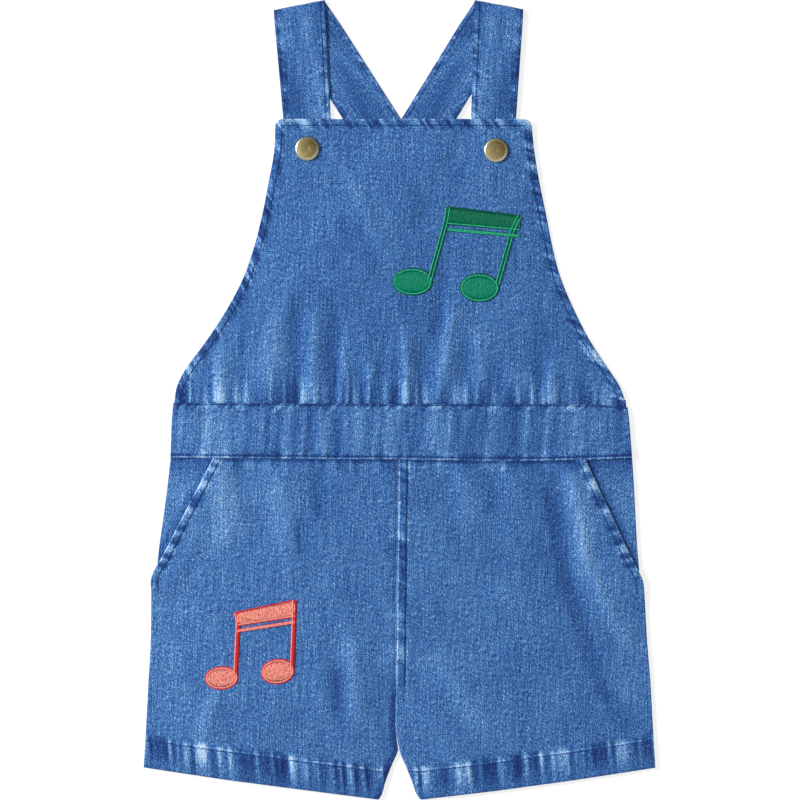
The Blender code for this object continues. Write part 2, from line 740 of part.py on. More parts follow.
def main():
    """Clear the scene and build every piece."""
    for old in list(bpy.data.objects):
        bpy.data.objects.remove(old, do_unlink=True)
    collection = bpy.data.collections.new(COLLECTION)
    bpy.context.scene.collection.children.link(collection)
    build_bib()
    build_waistbands()
    for side, mouth in zip(("left", "right"), POCKET_MOUTHS):
        build_leg(side)
        build_pocket_side(side, mouth)
    build_straps()
    build_studs()


main()
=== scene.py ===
"""Child's denim overalls laid flat, front up: the cloth, its sewing, embroidery and brass.

Sizes and places are in millimetres in the part's own frame, and MM turns them into metres. Across is
+X, up is +Y towards the shoulders, and heights are +Z from the floor. Left and right are those of
someone who looks down at the front.
"""
import json
import logging
import math
from dataclasses import dataclass, field
from enum import Enum
from typing import Any, Callable

import bpy
import numpy as np
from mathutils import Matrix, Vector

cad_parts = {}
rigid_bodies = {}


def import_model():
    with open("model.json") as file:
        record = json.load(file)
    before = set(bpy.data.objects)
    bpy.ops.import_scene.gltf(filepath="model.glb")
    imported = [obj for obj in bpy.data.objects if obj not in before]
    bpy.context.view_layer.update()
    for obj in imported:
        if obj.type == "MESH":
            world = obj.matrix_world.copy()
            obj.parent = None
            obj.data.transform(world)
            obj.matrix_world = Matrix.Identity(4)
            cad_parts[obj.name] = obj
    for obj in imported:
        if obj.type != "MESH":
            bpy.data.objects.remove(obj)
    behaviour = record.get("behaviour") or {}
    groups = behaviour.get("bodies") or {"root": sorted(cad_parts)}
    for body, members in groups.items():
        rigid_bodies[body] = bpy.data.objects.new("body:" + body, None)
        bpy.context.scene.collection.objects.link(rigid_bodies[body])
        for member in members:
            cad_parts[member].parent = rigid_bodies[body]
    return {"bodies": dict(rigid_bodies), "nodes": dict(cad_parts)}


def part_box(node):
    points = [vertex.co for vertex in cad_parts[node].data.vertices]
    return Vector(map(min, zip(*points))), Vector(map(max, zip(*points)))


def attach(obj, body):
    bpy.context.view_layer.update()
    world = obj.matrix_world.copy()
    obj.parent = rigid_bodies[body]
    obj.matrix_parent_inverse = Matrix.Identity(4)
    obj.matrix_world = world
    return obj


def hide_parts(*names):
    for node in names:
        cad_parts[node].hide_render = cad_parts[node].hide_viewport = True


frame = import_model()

MM = 0.001
BODY = next(iter(frame["bodies"]))
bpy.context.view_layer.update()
LOG = logging.getLogger("overalls")
Array = np.ndarray

# Sewing: from one stitch to the next, how long a stitch shows and its thread's radius
STITCH_PITCH = 3.1
STITCH_LENGTH = 2.35
STITCH_RADIUS = 0.26

EDGE_ROUND = 0.9
FAR = 30.0


def soft(value: Array) -> Array:
    """A soft rise from 0 to 1, for values between 0 and 1."""
    value = np.clip(value, 0.0, 1.0)
    return value * value * (3.0 - 2.0 * value)


def plateau(distance: Array, core: float, fall: float) -> Array:
    """1 within the core distance, falling softly to 0 over the next stretch."""
    return 1.0 - soft((distance - core) / fall)


def bell(distance: Array, width: float) -> Array:
    """1 at no distance, falling away on both sides."""
    return np.exp(-((distance / width) ** 2))


def rounded(edge: Array, least: float) -> Array:
    """The share of its thickness that cloth has near an edge, from the least share at the edge."""
    inward = np.clip(edge / EDGE_ROUND, 0.0, 1.0)
    return least + (1.0 - least) * np.sqrt(1.0 - (1.0 - inward) ** 2)


@dataclass(frozen=True)
class Table:
    """Rows of numbers under named columns, read by the first column.

    Args:
        columns: The columns' names, with spaces between them.
        rows: The rows, in any order.
    """

    columns: str
    rows: tuple[tuple[float, ...], ...]

    def _sorted(self, name: str) -> tuple[Array, Array]:
        """The key column and a named column, in the key's order."""
        rows = np.array(sorted(self.rows))
        return rows[:, 0], rows[:, self.columns.split().index(name)]

    def smooth(self, name: str, place: Array) -> Array:
        """The column's value at places along the key, on a smooth curve through the rows."""
        keys, values = self._sorted(name)
        last = len(keys) - 1
        place = np.clip(place, keys[0], keys[-1])
        low = np.clip(np.searchsorted(keys, place, side="right") - 1, 0, last - 1)
        before = np.maximum(np.arange(last + 1) - 1, 0)
        after = np.minimum(np.arange(last + 1) + 1, last)
        slopes = (values[after] - values[before]) / (keys[after] - keys[before])
        span = keys[low + 1] - keys[low]
        t = (place - keys[low]) / span
        start = (1.0 + 2.0 * t) * (1.0 - t) ** 2 * values[low]
        start = start + t * (1.0 - t) ** 2 * span * slopes[low]
        finish = t * t * (3.0 - 2.0 * t) * values[low + 1]
        return start + finish + t * t * (t - 1.0) * span * slopes[low + 1]

    def straight(self, name: str, place: Array) -> Array:
        """The column's value at places along the key, on straight lines between the rows."""
        keys, values = self._sorted(name)
        return np.interp(place, keys, values)


class Wander:
    """Smooth chance variation over a plane, the same each time for the same seed.

    Args:
        seed: Picks the variation.
        reach_across: How far apart its lumps stand across, in millimetres.
        reach_up: How far apart they stand up the cloth.
    """

    SIDE = 128

    def __init__(self, seed: int, reach_across: float, reach_up: float) -> None:
        self.lattice = np.random.default_rng(seed).uniform(-1.0, 1.0, (self.SIDE, self.SIDE))
        self.reach = (reach_across, reach_up)

    def at(self, across: Array, up: Array) -> Array:
        """The variation at places on the plane, from -1 to 1."""
        x = np.asarray(across) / self.reach[0] + self.SIDE * 4.0
        y = np.asarray(up) / self.reach[1] + self.SIDE * 4.0
        column, row = np.floor(x).astype(int), np.floor(y).astype(int)
        blend_x, blend_y = soft(x - column), soft(y - row)
        near, far = column % self.SIDE, (column + 1) % self.SIDE
        low, high = row % self.SIDE, (row + 1) % self.SIDE
        bottom = self.lattice[low, near] * (1 - blend_x) + self.lattice[low, far] * blend_x
        top = self.lattice[high, near] * (1 - blend_x) + self.lattice[high, far] * blend_x
        return bottom * (1 - blend_y) + top * blend_y


# The cut, as sections across the garment
BIB_SECTIONS = Table("up left right", (
    (186.0, -82.0, 86.8), (165.0, -82.6, 88.9), (145.0, -86.1, 92.1), (120.0, -91.1, 97.2),
    (99.0, -96.6, 101.4), (80.0, -103.4, 106.6), (60.0, -113.8, 115.0), (40.0, -126.8, 125.2),
    (20.0, -141.4, 138.2), (9.0, -146.8, 145.3), (-3.0, -148.8, 149.6),
))
BAND_SECTIONS = Table("up left right", (
    (-1.0, -149.2, 150.0), (-14.0, -150.3, 151.6), (-39.0, -151.1, 153.5),
))
HIP_SECTIONS = Table("up left right", (
    (-37.0, -150.8, 153.4), (-59.0, -153.4, 154.8), (-79.0, -156.0, 155.8),
    (-99.0, -158.8, 157.0), (-124.0, -161.2, 159.2),
))
LEG_SECTIONS = Table("up left right", (
    (-37.0, -122.2, 121.6), (-72.0, -140.4, 138.0), (-105.0, -157.5, 153.5),
    (-112.0, -161.9, 157.4), (-118.5, -164.1, 160.3), (-125.5, -163.8, 161.4),
    (-158.0, -164.1, 163.3), (-185.0, -165.6, 165.5), (-212.0, -167.0, 167.0),
    (-242.6, -168.8, 168.8),
))
INSEAM_SECTIONS = Table("up left right", (
    (-37.0, -0.5, -0.1), (-181.0, -2.2, -1.8), (-196.0, -2.7, -2.3), (-212.0, -3.1, -2.7),
    (-224.0, -2.0, -1.5), (-230.5, -0.9, -0.1), (-234.0, -2.0, 0.8), (-240.0, -4.7, 3.5),
    (-251.0, -9.0, 8.0), (-260.0, -11.6, 11.2), (-263.7, -13.8, 14.0),
))
WAIST_SEAMS = Table("across upper lower", (
    (-152.0, -2.0, -38.0), (-76.0, -2.4, -38.8), (0.0, -2.6, -39.4), (74.0, -2.8, -40.3),
    (130.0, -3.3, -39.2), (154.0, -5.0, -38.1),
))
LEG_HEM_LINE = Table("across up", (
    (-168.8, -242.4), (-111.0, -251.0), (-14.0, -263.6), (15.0, -263.6), (64.0, -257.8),
    (113.0, -251.1), (168.8, -242.6),
))
FRONT_LIES = Table("up edge middle slope", (
    (186.0, 2.95, 2.95, 4.4), (177.0, 1.70, 2.95, 4.4), (149.0, 1.60, 2.95, 4.4),
    (128.0, 0.30, 1.80, 22.0), (40.0, 0.05, 1.80, 24.0), (14.0, 0.60, 1.80, 24.0),
    (2.0, 1.55, 1.85, 20.0), (-45.0, 1.55, 1.55, 20.0), (-270.0, 1.55, 1.55, 20.0),
))
POCKET_MOUTHS = (((-123.1, -39.0), (-161.0, -112.0)), ((122.4, -39.0), (158.5, -115.5)))
POCKET_FOOT_UP = -123.0
POCKET_UNDERLAP = 9.0
CROTCH_UP = -190.0
BIB_TOP = 185.4
LEG_HEM = 18.5

# The cloth closes the centre seam that the solids leave open, fading out at the slit's foot
SEAM_CLOSE = 0.18
SEAM_CLOSE_FOOT_UP = -228.0
SEAM_CLOSE_FADE = 6.0

# Folds: a soft ridge, or a trough where the rise is negative. The columns are the foot's place across
# and up, the head's place across and up, the width and the rise
BIB_FOLDS = (
    (-127.7, 2.0, -126.0, 30.0, 4.2, -0.8),
    (-119.8, 0.0, -118.0, 34.0, 4.6, 0.8),
    (-105.0, 6.0, -103.0, 64.0, 5.4, -0.9),
    (-89.0, -2.0, -81.0, 56.0, 6.4, 0.9),
    (-69.4, 0.0, -67.8, 62.0, 4.4, -1.0),
    (-57.0, 0.0, -56.0, 62.0, 4.2, 1.0),
    (-44.2, -2.0, -43.2, 68.0, 4.6, -1.2),
    (-35.6, -2.0, -36.6, 34.0, 3.8, 0.9),
    (-27.0, -2.0, -28.0, 22.0, 3.6, -0.5),
    (-18.8, -2.0, -19.2, 24.0, 3.6, 0.7),
    (-11.5, -2.0, -11.8, 30.0, 3.6, -0.8),
    (-5.5, -2.0, -4.8, 18.0, 3.0, 0.4),
    (-0.8, -2.0, -1.4, 30.0, 3.2, -0.8),
    (4.6, -2.0, 4.0, 46.0, 3.8, 1.2),
    (15.5, -2.0, 15.0, 40.0, 4.8, -0.8),
    (26.7, 0.0, 36.0, 62.0, 4.4, 1.2),
    (30.0, 86.0, 22.8, 40.0, 4.4, -0.8),
    (41.5, -2.0, 44.5, 34.0, 4.6, -0.6),
    (53.0, -2.0, 53.6, 44.0, 4.8, 0.8),
    (64.0, -2.0, 65.0, 26.0, 4.4, -0.5),
    (74.0, -2.0, 74.6, 22.0, 4.2, 0.5),
    (85.5, -2.0, 86.5, 16.0, 4.2, 0.5),
    (92.5, 6.0, 93.6, 60.0, 5.2, -0.8),
    (99.3, -2.0, 100.0, 26.0, 4.2, 0.7),
    (109.5, -2.0, 108.5, 18.0, 4.0, -0.4),
    (119.8, 8.0, 119.0, 32.0, 4.4, -0.6),
    (130.0, 0.0, 127.0, 20.0, 4.4, 0.5),
    (-39.0, 158.0, -8.0, 92.0, 5.0, 0.6),
)
WAIST_FOLDS = (
    (-58.0, -37.0, -59.0, -3.0, 3.0, -0.5),
    (-50.0, -37.0, -51.0, -3.0, 3.0, 0.6),
    (-42.0, -37.0, -43.5, -3.0, 3.0, -0.5),
    (-34.0, -37.0, -35.0, -3.0, 3.0, 0.5),
    (78.0, -29.0, 111.0, -29.0, 3.4, -0.4),
    (-128.0, -12.0, -129.0, -3.0, 4.0, -0.4),
    (-103.0, -13.0, -104.0, -3.0, 4.0, -0.4),
    (2.0, -13.0, 3.0, -3.0, 4.0, 0.4),
    (48.0, -12.0, 50.0, -3.0, 4.4, 0.4),
)
LEG_FOLDS = (
    (100.0, -59.0, 111.2, -121.0, 6.0, -1.1),
    (111.2, -121.0, 134.9, -190.7, 6.4, -1.2),
    (134.9, -190.7, 154.8, -217.0, 6.0, -0.9),
    (113.2, -50.0, 124.4, -110.0, 5.4, 1.1),
    (124.4, -110.0, 154.8, -170.0, 5.6, 1.0),
    (40.0, -44.0, 46.0, -84.0, 7.0, 0.7),
    (58.0, -44.0, 62.0, -78.0, 6.0, -0.7),
    (26.0, -170.0, 60.0, -226.0, 8.0, 0.6),
    (-118.0, -40.0, -113.0, -95.0, 8.0, 0.9),
    (-64.4, -78.0, -64.0, -104.0, 5.0, -0.8),
    (-53.1, -48.0, -52.4, -80.0, 5.0, -0.8),
    (-80.0, -46.0, -72.0, -110.0, 9.0, 0.7),
    (-40.0, -178.0, -39.6, -210.0, 5.4, -1.0),
    (-32.0, -160.0, -28.0, -215.0, 6.0, 0.8),
    (-123.0, -195.0, -130.0, -222.0, 5.0, 0.8),
    (-134.3, -238.0, -133.0, -248.0, 3.6, -0.5),
    (-99.3, -238.0, -99.0, -254.0, 3.6, -0.6),
    (-76.9, -240.0, -76.0, -254.0, 3.6, -0.7),
    (-51.8, -243.0, -51.0, -257.0, 3.6, -0.5),
    (-35.3, -244.0, -35.0, -258.0, 3.4, -0.5),
    (48.0, -240.0, 49.0, -258.0, 3.6, -0.5),
    (63.0, -240.0, 65.0, -256.0, 3.6, -0.6),
)

# Broad light and dark patches: partly the washed cloth's faded or kept colour, partly painted light
# that makes the left side lighter where the light falls and paints the lit and shaded sides of the
# right leg's long fold.
# The columns are the place across and up, the reach across and up, and the lift
PAINTED_LIGHT_AND_FADE_SPOTS = (
    (-140.0, -20.0, 40.0, 22.0, 0.9),
    (-118.0, -70.0, 26.0, 40.0, 0.7),
    (-150.0, -170.0, 26.0, 70.0, 0.6),
    (-80.0, -150.0, 50.0, 60.0, 0.2),
    (150.0, -20.0, 20.0, 20.0, 0.4),
    (122.0, -95.0, 10.0, 45.0, 0.7),
    (150.0, -180.0, 14.0, 60.0, 0.3),
    (95.0, -100.0, 12.0, 60.0, -0.5),
    (40.0, -150.0, 60.0, 60.0, 0.1),
    (-110.0, 40.0, 40.0, 40.0, 0.4),
    (0.0, 60.0, 60.0, 50.0, -0.3),
    (0.0, 130.0, 70.0, 50.0, -0.1),
)


def relief(folds: tuple, across: Array, up: Array) -> Array:
    """The sum of the folds at places: each is highest on its line and fades at its two ends."""
    total = np.zeros(np.broadcast(across, up).shape)
    for foot_across, foot_up, head_across, head_up, width, rise in folds:
        run_across, run_up = head_across - foot_across, head_up - foot_up
        length = math.hypot(run_across, run_up)
        along = ((across - foot_across) * run_across + (up - foot_up) * run_up) / length ** 2
        aside = ((across - foot_across) * run_up - (up - foot_up) * run_across) / length
        fade = soft((along + 0.25) / 0.4) * soft((1.2 - along) / 0.45)
        total += rise * fade * bell(aside, width)
    return total


def seam_closing(up: Array) -> Array:
    """How far the cloth reaches into the centre seam's gap."""
    return SEAM_CLOSE * soft((up - SEAM_CLOSE_FOOT_UP) / SEAM_CLOSE_FADE)


def painted_light_and_fade_at(across: Array, up: Array) -> Array:
    """How much lighter the cloth is at places, from fading and from painted light: over 0 is lighter.
    """
    total = np.zeros(np.broadcast(across, up).shape)
    for spot_across, spot_up, reach_across, reach_up, lift in PAINTED_LIGHT_AND_FADE_SPOTS:
        far = ((across - spot_across) / reach_across) ** 2 + ((up - spot_up) / reach_up) ** 2
        total += lift * np.exp(-far)
    return total


class Lay:
    """How the layers lie on the floor and on each other."""

    GAP = 0.3
    STRAP_PLIES = 1.4
    SIDE_PLY = 1.2
    STRAP_END_UP = 151.8
    STRAP_BACK_END_UP = 0.3
    FRONT_RUN = Table("up underside", (
        (264.0, 2.30), (252.0, 2.15), (230.0, 1.75), (198.0, 1.75), (186.0, 1.10), (150.0, 1.10),
    ))
    CROSSING = Table("up underside", (
        (264.0, 0.0), (206.0, 0.0), (188.0, 1.75), (122.0, 1.75), (100.0, 0.0), (0.0, 0.0),
    ))

    def outline(self, side: str, up: Array) -> Array:
        """Where the garment ends below the waist, on one side."""
        foot_up = POCKET_MOUTHS[0 if side == "left" else 1][1][1]
        hip = HIP_SECTIONS.smooth(side, up)
        return np.where(up > foot_up, hip, LEG_SECTIONS.smooth(side, up))

    def strap_span(self, plan: "StrapPlan", up: Array, front: bool) -> tuple[Array, Array]:
        """A strap's two edges at heights up the garment, on its front or its back run."""
        end_up = self.STRAP_END_UP if front else self.STRAP_BACK_END_UP
        edges = []
        for end, (fold_across, fold_up) in zip(plan.end if front else plan.back_end, plan.fold):
            edges.append(end + (fold_across - end) * (up - end_up) / (fold_up - end_up))
        return edges[0], edges[1]

    def back_run(self, plan: "StrapPlan", up: Array) -> Array:
        """The underside of a strap's back run: one rises where it crosses over the other."""
        return self.CROSSING.straight("underside", up) * (1.0 if plan.rises else 0.0)

    def over_straps(self, across: Array, up: Array) -> Array:
        """The lowest that the bib may lie over the straps behind it."""
        height = np.zeros(np.broadcast(across, up).shape)
        for plan in STRAP_PLANS:
            for front, fall in ((False, 30.0), (True, 10.0)):
                first, second = self.strap_span(plan, up, front)
                beside = abs(across - 0.5 * (first + second)) - 0.5 * abs(first - second)
                if front:
                    top = self.FRONT_RUN.straight("underside", self.STRAP_END_UP)
                    top = top + self.STRAP_PLIES + 2.0 * self.GAP
                    top = top * plateau(self.STRAP_END_UP - up, 3.0, 14.0)
                else:
                    top = self.back_run(plan, up) + self.STRAP_PLIES + 2.0 * self.GAP
                height = np.maximum(height, top * plateau(beside, 1.5, fall))
        return height

    def pocket_lift(self, across: Array, up: Array) -> Array:
        """How much the front cloth is lifted by the pocket side pieces beneath it."""
        lift = np.zeros(np.broadcast(across, up).shape)
        for (top_across, top_up), (foot_across, foot_up) in POCKET_MOUTHS:
            side = 1.0 if top_across > 0.0 else -1.0
            slope = (foot_across - top_across) / (foot_up - top_up)
            inside = side * (top_across + slope * (up - top_up) - across)
            above = up - WAIST_SEAMS.smooth("lower", across)
            beyond = np.maximum(0.0, np.maximum(above, POCKET_FOOT_UP - 1.5 - up))
            share = plateau(inside, POCKET_UNDERLAP + 3.0, 16.0) * plateau(beyond, 0.0, 14.0)
            lift = np.maximum(lift, share)
        return lift * (self.SIDE_PLY + self.GAP)

    def slit_distance(self, across: Array, up: Array) -> Array:
        """The distance from the edges that part the two legs."""
        seam = INSEAM_SECTIONS.smooth("left", CROTCH_UP)
        above = np.hypot(across - seam, up - CROTCH_UP)
        left = abs(across - INSEAM_SECTIONS.smooth("left", up))
        right = abs(across - INSEAM_SECTIONS.smooth("right", up))
        return np.where(up > CROTCH_UP, above, np.minimum(left, right))

    def underside(
        self, across: Array, up: Array, edge: Array, folds: tuple, swell: Array
    ) -> Array:
        """The underside of the front layer.

        Args:
            across: Places across.
            up: Places up the garment.
            edge: The places' distances from the garment's outline.
            folds: The folds that cross the layer.
            swell: How much the loose cloth swells.

        Returns:
            The heights over the floor.
        """
        low = FRONT_LIES.straight("edge", up)
        high = FRONT_LIES.straight("middle", up)
        rest = low + (high - low) * soft(edge / FRONT_LIES.straight("slope", up))
        straps = self.over_straps(across, up)
        rest = np.where(up > self.STRAP_BACK_END_UP - 1.0, np.maximum(rest, straps), rest)
        loose = swell * soft(edge / 34.0) + 1.3 * relief(folds, across, up)
        return rest + np.maximum(0.0, loose)


@dataclass(frozen=True)
class StrapPlan:
    """A strap's plan: each pair runs from its outer edge to its inner edge on the front run."""

    name: str
    end: tuple[float, float]
    fold: tuple[tuple[float, float], tuple[float, float]]
    back_end: tuple[float, float]
    rises: bool


STRAP_PLANS = (
    StrapPlan("strap_left", (-73.6, -43.6), ((-83.2, 257.4), (-49.2, 264.1)), (80.4, 119.0), False),
    StrapPlan("strap_right", (74.6, 46.1), ((81.9, 258.0), (49.6, 264.0)), (-75.6, -112.6), True),
)
LAY = Lay()
ROPE = Wander(7, 1.0, 40.0)


class Signal:
    """A number that varies over a surface: an output socket with Python's arithmetic.

    Args:
        graph: The node graph that the socket is in.
        socket: The output socket.
    """

    def __init__(self, graph: "Graph", socket: bpy.types.NodeSocket) -> None:
        self.graph = graph
        self.socket = socket

    def _math(self, operation: str, *values: Any) -> "Signal":
        """The result of a Math node."""
        return self.graph.math(operation, *values)

    def __add__(self, other: Any) -> "Signal":
        """This and another, added."""
        return self._math("ADD", self, other)

    __radd__ = __add__

    def __mul__(self, other: Any) -> "Signal":
        """This and another, multiplied."""
        return self._math("MULTIPLY", self, other)

    __rmul__ = __mul__

    def __sub__(self, other: Any) -> "Signal":
        """This less another."""
        return self._math("SUBTRACT", self, other)

    def __rsub__(self, other: Any) -> "Signal":
        """Another less this."""
        return self._math("SUBTRACT", other, self)

    def __truediv__(self, other: Any) -> "Signal":
        """This divided by another."""
        return self._math("DIVIDE", self, other)

    def between(self, low: float, high: float) -> "Signal":
        """A soft rise from 0 at the low value to 1 at the high one."""
        values = {"Value": self, "From Min": low, "From Max": high}
        node = self.graph.add("ShaderNodeMapRange", {"interpolation_type": "SMOOTHSTEP"}, values)
        return Signal(self.graph, node.outputs["Result"])

    def bell(self, width: float) -> "Signal":
        """1 where this is 0, falling away on both sides."""
        ratio = self / width
        return self._math("EXPONENT", ratio * ratio * -1.0)


class Graph:
    """A material's node graph.

    Args:
        name: The material's name.
    """

    def __init__(self, name: str) -> None:
        self.material = bpy.data.materials.new(name)
        self.material.use_nodes = True
        self.tree = self.material.node_tree
        self.shader = self.tree.nodes["Principled BSDF"]

    def add(
        self, kind: str, settings: dict[str, Any] | None = None, values: dict | None = None
    ) -> bpy.types.Node:
        """Add a node.

        Args:
            kind: The node's type.
            settings: Its properties, set first.
            values: A value or a link for each named or numbered input.

        Returns:
            The node.
        """
        node = self.tree.nodes.new(kind)
        for name, value in (settings or {}).items():
            setattr(node, name, value)
        for key, value in (values or {}).items():
            self.put(node.inputs[key], value)
        return node

    def put(self, target: bpy.types.NodeSocket, value: Any) -> None:
        """Link a signal or a socket to an input, or set the input's own value."""
        if isinstance(value, Signal):
            self.tree.links.new(value.socket, target)
        elif isinstance(value, bpy.types.NodeSocket):
            self.tree.links.new(value, target)
        else:
            target.default_value = value

    def math(self, operation: str, *values: Any) -> Signal:
        """A Math node's result."""
        node = self.add("ShaderNodeMath", {"operation": operation}, dict(enumerate(values)))
        return Signal(self, node.outputs[0])

    def mark(self, name: str) -> Signal:
        """A mark that the cloth's points carry."""
        node = self.add("ShaderNodeAttribute", {"attribute_name": name})
        return Signal(self, node.outputs["Fac"])

    def stretched(self, place: Any, across: float, along: float, turn: float = 0.0) -> Any:
        """Cloth coordinates turned, and scaled to lumps of a size across and along, in mm."""
        turned = self.add(
            "ShaderNodeMapping", None, {"Vector": place, "Rotation": (0.0, 0.0, turn)}
        )
        scale = (1.0 / (across * MM), 1.0 / (along * MM), 1.0)
        scaled = self.add("ShaderNodeMapping", None, {"Vector": turned.outputs[0], "Scale": scale})
        return scaled.outputs[0]

    def noise(self, place: Any, detail: float = 2.0) -> Signal:
        """Smooth noise about 0, from about -1 to 1."""
        values = {"Vector": place, "Scale": 1.0, "Detail": detail}
        node = self.add("ShaderNodeTexNoise", {"noise_dimensions": "2D"}, values)
        return (Signal(self, node.outputs["Fac"]) - 0.5) * 2.6

    def mix(self, first: Any, second: Any, share: Any) -> bpy.types.NodeSocket:
        """A colour between two colours."""
        settings = {"data_type": "RGBA", "clamp_factor": True}
        node = self.add("ShaderNodeMix", settings, {0: share, 6: first, 7: second})
        return node.outputs[2]

    def ramp(self, share: Signal, stops: tuple) -> bpy.types.NodeSocket:
        """A colour read from a ramp of (place, colour) stops."""
        node = self.add("ShaderNodeValToRGB", None, {0: share})
        elements = node.color_ramp.elements
        while len(elements) < len(stops):
            elements.new(0.5)
        for element, (place, colour) in zip(elements, stops):
            element.position = place
            element.color = colour
        return node.outputs["Color"]

    def bump(self, height: Signal, distance: float, strength: float = 1.0) -> Any:
        """A normal that a height in units of the distance, in mm, roughens."""
        values = {"Height": height, "Distance": distance * MM, "Strength": strength}
        return self.add("ShaderNodeBump", None, values).outputs[0]

    def finish(self, **values: Any) -> bpy.types.Material:
        """Set the shader's inputs, with spaces for underscores, and return the material."""
        for name, value in values.items():
            self.put(self.shader.inputs[name.replace("_", " ")], value)
        return self.material


def linear(red: int, green: int, blue: int) -> tuple[float, float, float, float]:
    """A screen colour as the linear colour that a shader takes."""
    values = []
    for value in (red, green, blue):
        share = value / 255.0
        values.append(share / 12.92 if share <= 0.04045 else ((share + 0.055) / 1.055) ** 2.4)
    return values[0], values[1], values[2], 1.0


@dataclass(frozen=True)
class DenimFinish:
    """Washed mid-blue denim: a fine twill of blue warp and pale weft, worn on edges and ridges, with
    painted light and painted shade from the fade mark and painted shade along the stitch lines.

    Args:
        name: The material's name.
        shade: How much lighter it is all over.
    """

    name: str
    shade: float = 0.0
    deep: tuple = linear(16, 40, 98)
    blue: tuple = linear(42, 88, 152)
    pale: tuple = linear(96, 150, 206)
    white: tuple = linear(190, 216, 238)

    def build(self) -> bpy.types.Material:
        """The material."""
        g = Graph(self.name)
        place = g.add("ShaderNodeUVMap", {"uv_map": "cut"}).outputs[0]
        speckle = g.noise(g.stretched(place, 0.52, 0.8), 1.0)
        twill = g.noise(g.stretched(place, 0.52, 2.4, math.radians(-26.0)), 1.0)
        slub = g.noise(g.stretched(place, 0.62, 26.0), 1.0)
        weft = g.noise(g.stretched(place, 18.0, 0.7), 1.0)
        mottle = g.noise(g.stretched(place, 3.2, 12.0), 2.0)
        cloud = g.noise(g.stretched(place, 22.0, 40.0), 1.0)
        # The fade mark holds real fading and kept blue, and also painted light and painted shade from
        # the panels and straps.
        fade, line = g.mark("fade"), g.mark("line")
        grain = speckle * 0.42 + twill * 0.40 + slub * 0.17 + weft * 0.06
        washed = mottle * 0.05 + cloud * 0.05
        # Painted shade in the sunken stitch lines: the cloth is darkened along each row of stitches.
        stitch_groove_shade = line.bell(0.42) * (speckle * 0.2 - 0.40)
        share = grain + washed + stitch_groove_shade + fade * (1.0 + mottle * 0.2) + (0.415 + self.shade)
        stops = ((0.0, self.deep), (0.38, self.blue), (0.74, self.pale), (1.0, self.white))
        colour = g.ramp(share, stops)
        warp = g.noise(g.stretched(place, 0.45, 2.0), 1.0)
        thread = warp * 0.5 + twill * 0.6 + speckle * 0.4
        return g.finish(
            Base_Color=colour, Roughness=0.9, Normal=g.bump(thread, 0.10, 0.8),
            Specular_IOR_Level=0.2, Sheen_Weight=0.06, Sheen_Roughness=0.5,
        )


@dataclass(frozen=True)
class ThreadFinish:
    """Glossy embroidery or plain sewing thread.

    Args:
        name: The material's name.
        colour: The thread's colour.
        dark: The colour in its twist.
        roughness: How matt it is.
        flecks: How strongly the colour varies.
    """

    name: str
    colour: tuple
    dark: tuple
    roughness: float = 0.5
    flecks: float = 0.5

    def build(self) -> bpy.types.Material:
        """The material."""
        g = Graph(self.name)
        place = g.add("ShaderNodeTexCoord").outputs["Object"]
        grain = g.noise(g.stretched(place, 0.45, 1.6), 1.0)
        patch = g.noise(g.stretched(place, 0.9, 2.2, 0.2), 1.0)
        share = (grain + patch) * self.flecks + 0.72
        colour = g.mix(self.dark, self.colour, share)
        return g.finish(
            Base_Color=colour, Roughness=self.roughness, Specular_IOR_Level=0.16,
            Normal=g.bump(grain, 0.05, 0.6),
        )


@dataclass(frozen=True)
class BrassFinish:
    """Antiqued brass: an olive, clouded face painted lighter towards its lit side, with a rim worn
    bright and painted brighter on that side as a highlight.

    Args:
        name: The material's name.
        rim: The radius where the bright rim starts, in millimetres.
    """

    name: str
    rim: float = 6.2

    def build(self) -> bpy.types.Material:
        """The material."""
        g = Graph(self.name)
        place = g.add("ShaderNodeTexCoord").outputs["Object"]
        cloud = g.noise(g.stretched(place, 2.6, 2.6), 3.0)
        scratch = g.noise(g.stretched(place, 0.3, 3.0, 0.7), 2.0)
        rim = g.mark("rim").between(self.rim - 0.4, self.rim + 0.5)
        # Painted light: the face is lighter towards its lower left, where the light falls, and the
        # bright rim is painted brighter there as a highlight.
        lit_side_share = g.mark("lit_side_share") * 0.45 + cloud * 0.12 + scratch * 0.05 + 0.45
        face = g.mix(linear(98, 78, 26), linear(206, 190, 136), lit_side_share)
        colour = g.mix(face, linear(255, 246, 208), rim * (g.mark("lit_side_share") * 0.5 + 0.7))
        roughness = 0.46 + cloud * 0.05 - rim * 0.2
        return g.finish(
            Base_Color=colour, Metallic=1.0, Roughness=roughness,
            Normal=g.bump(scratch + cloud, 0.02, 0.4),
        )


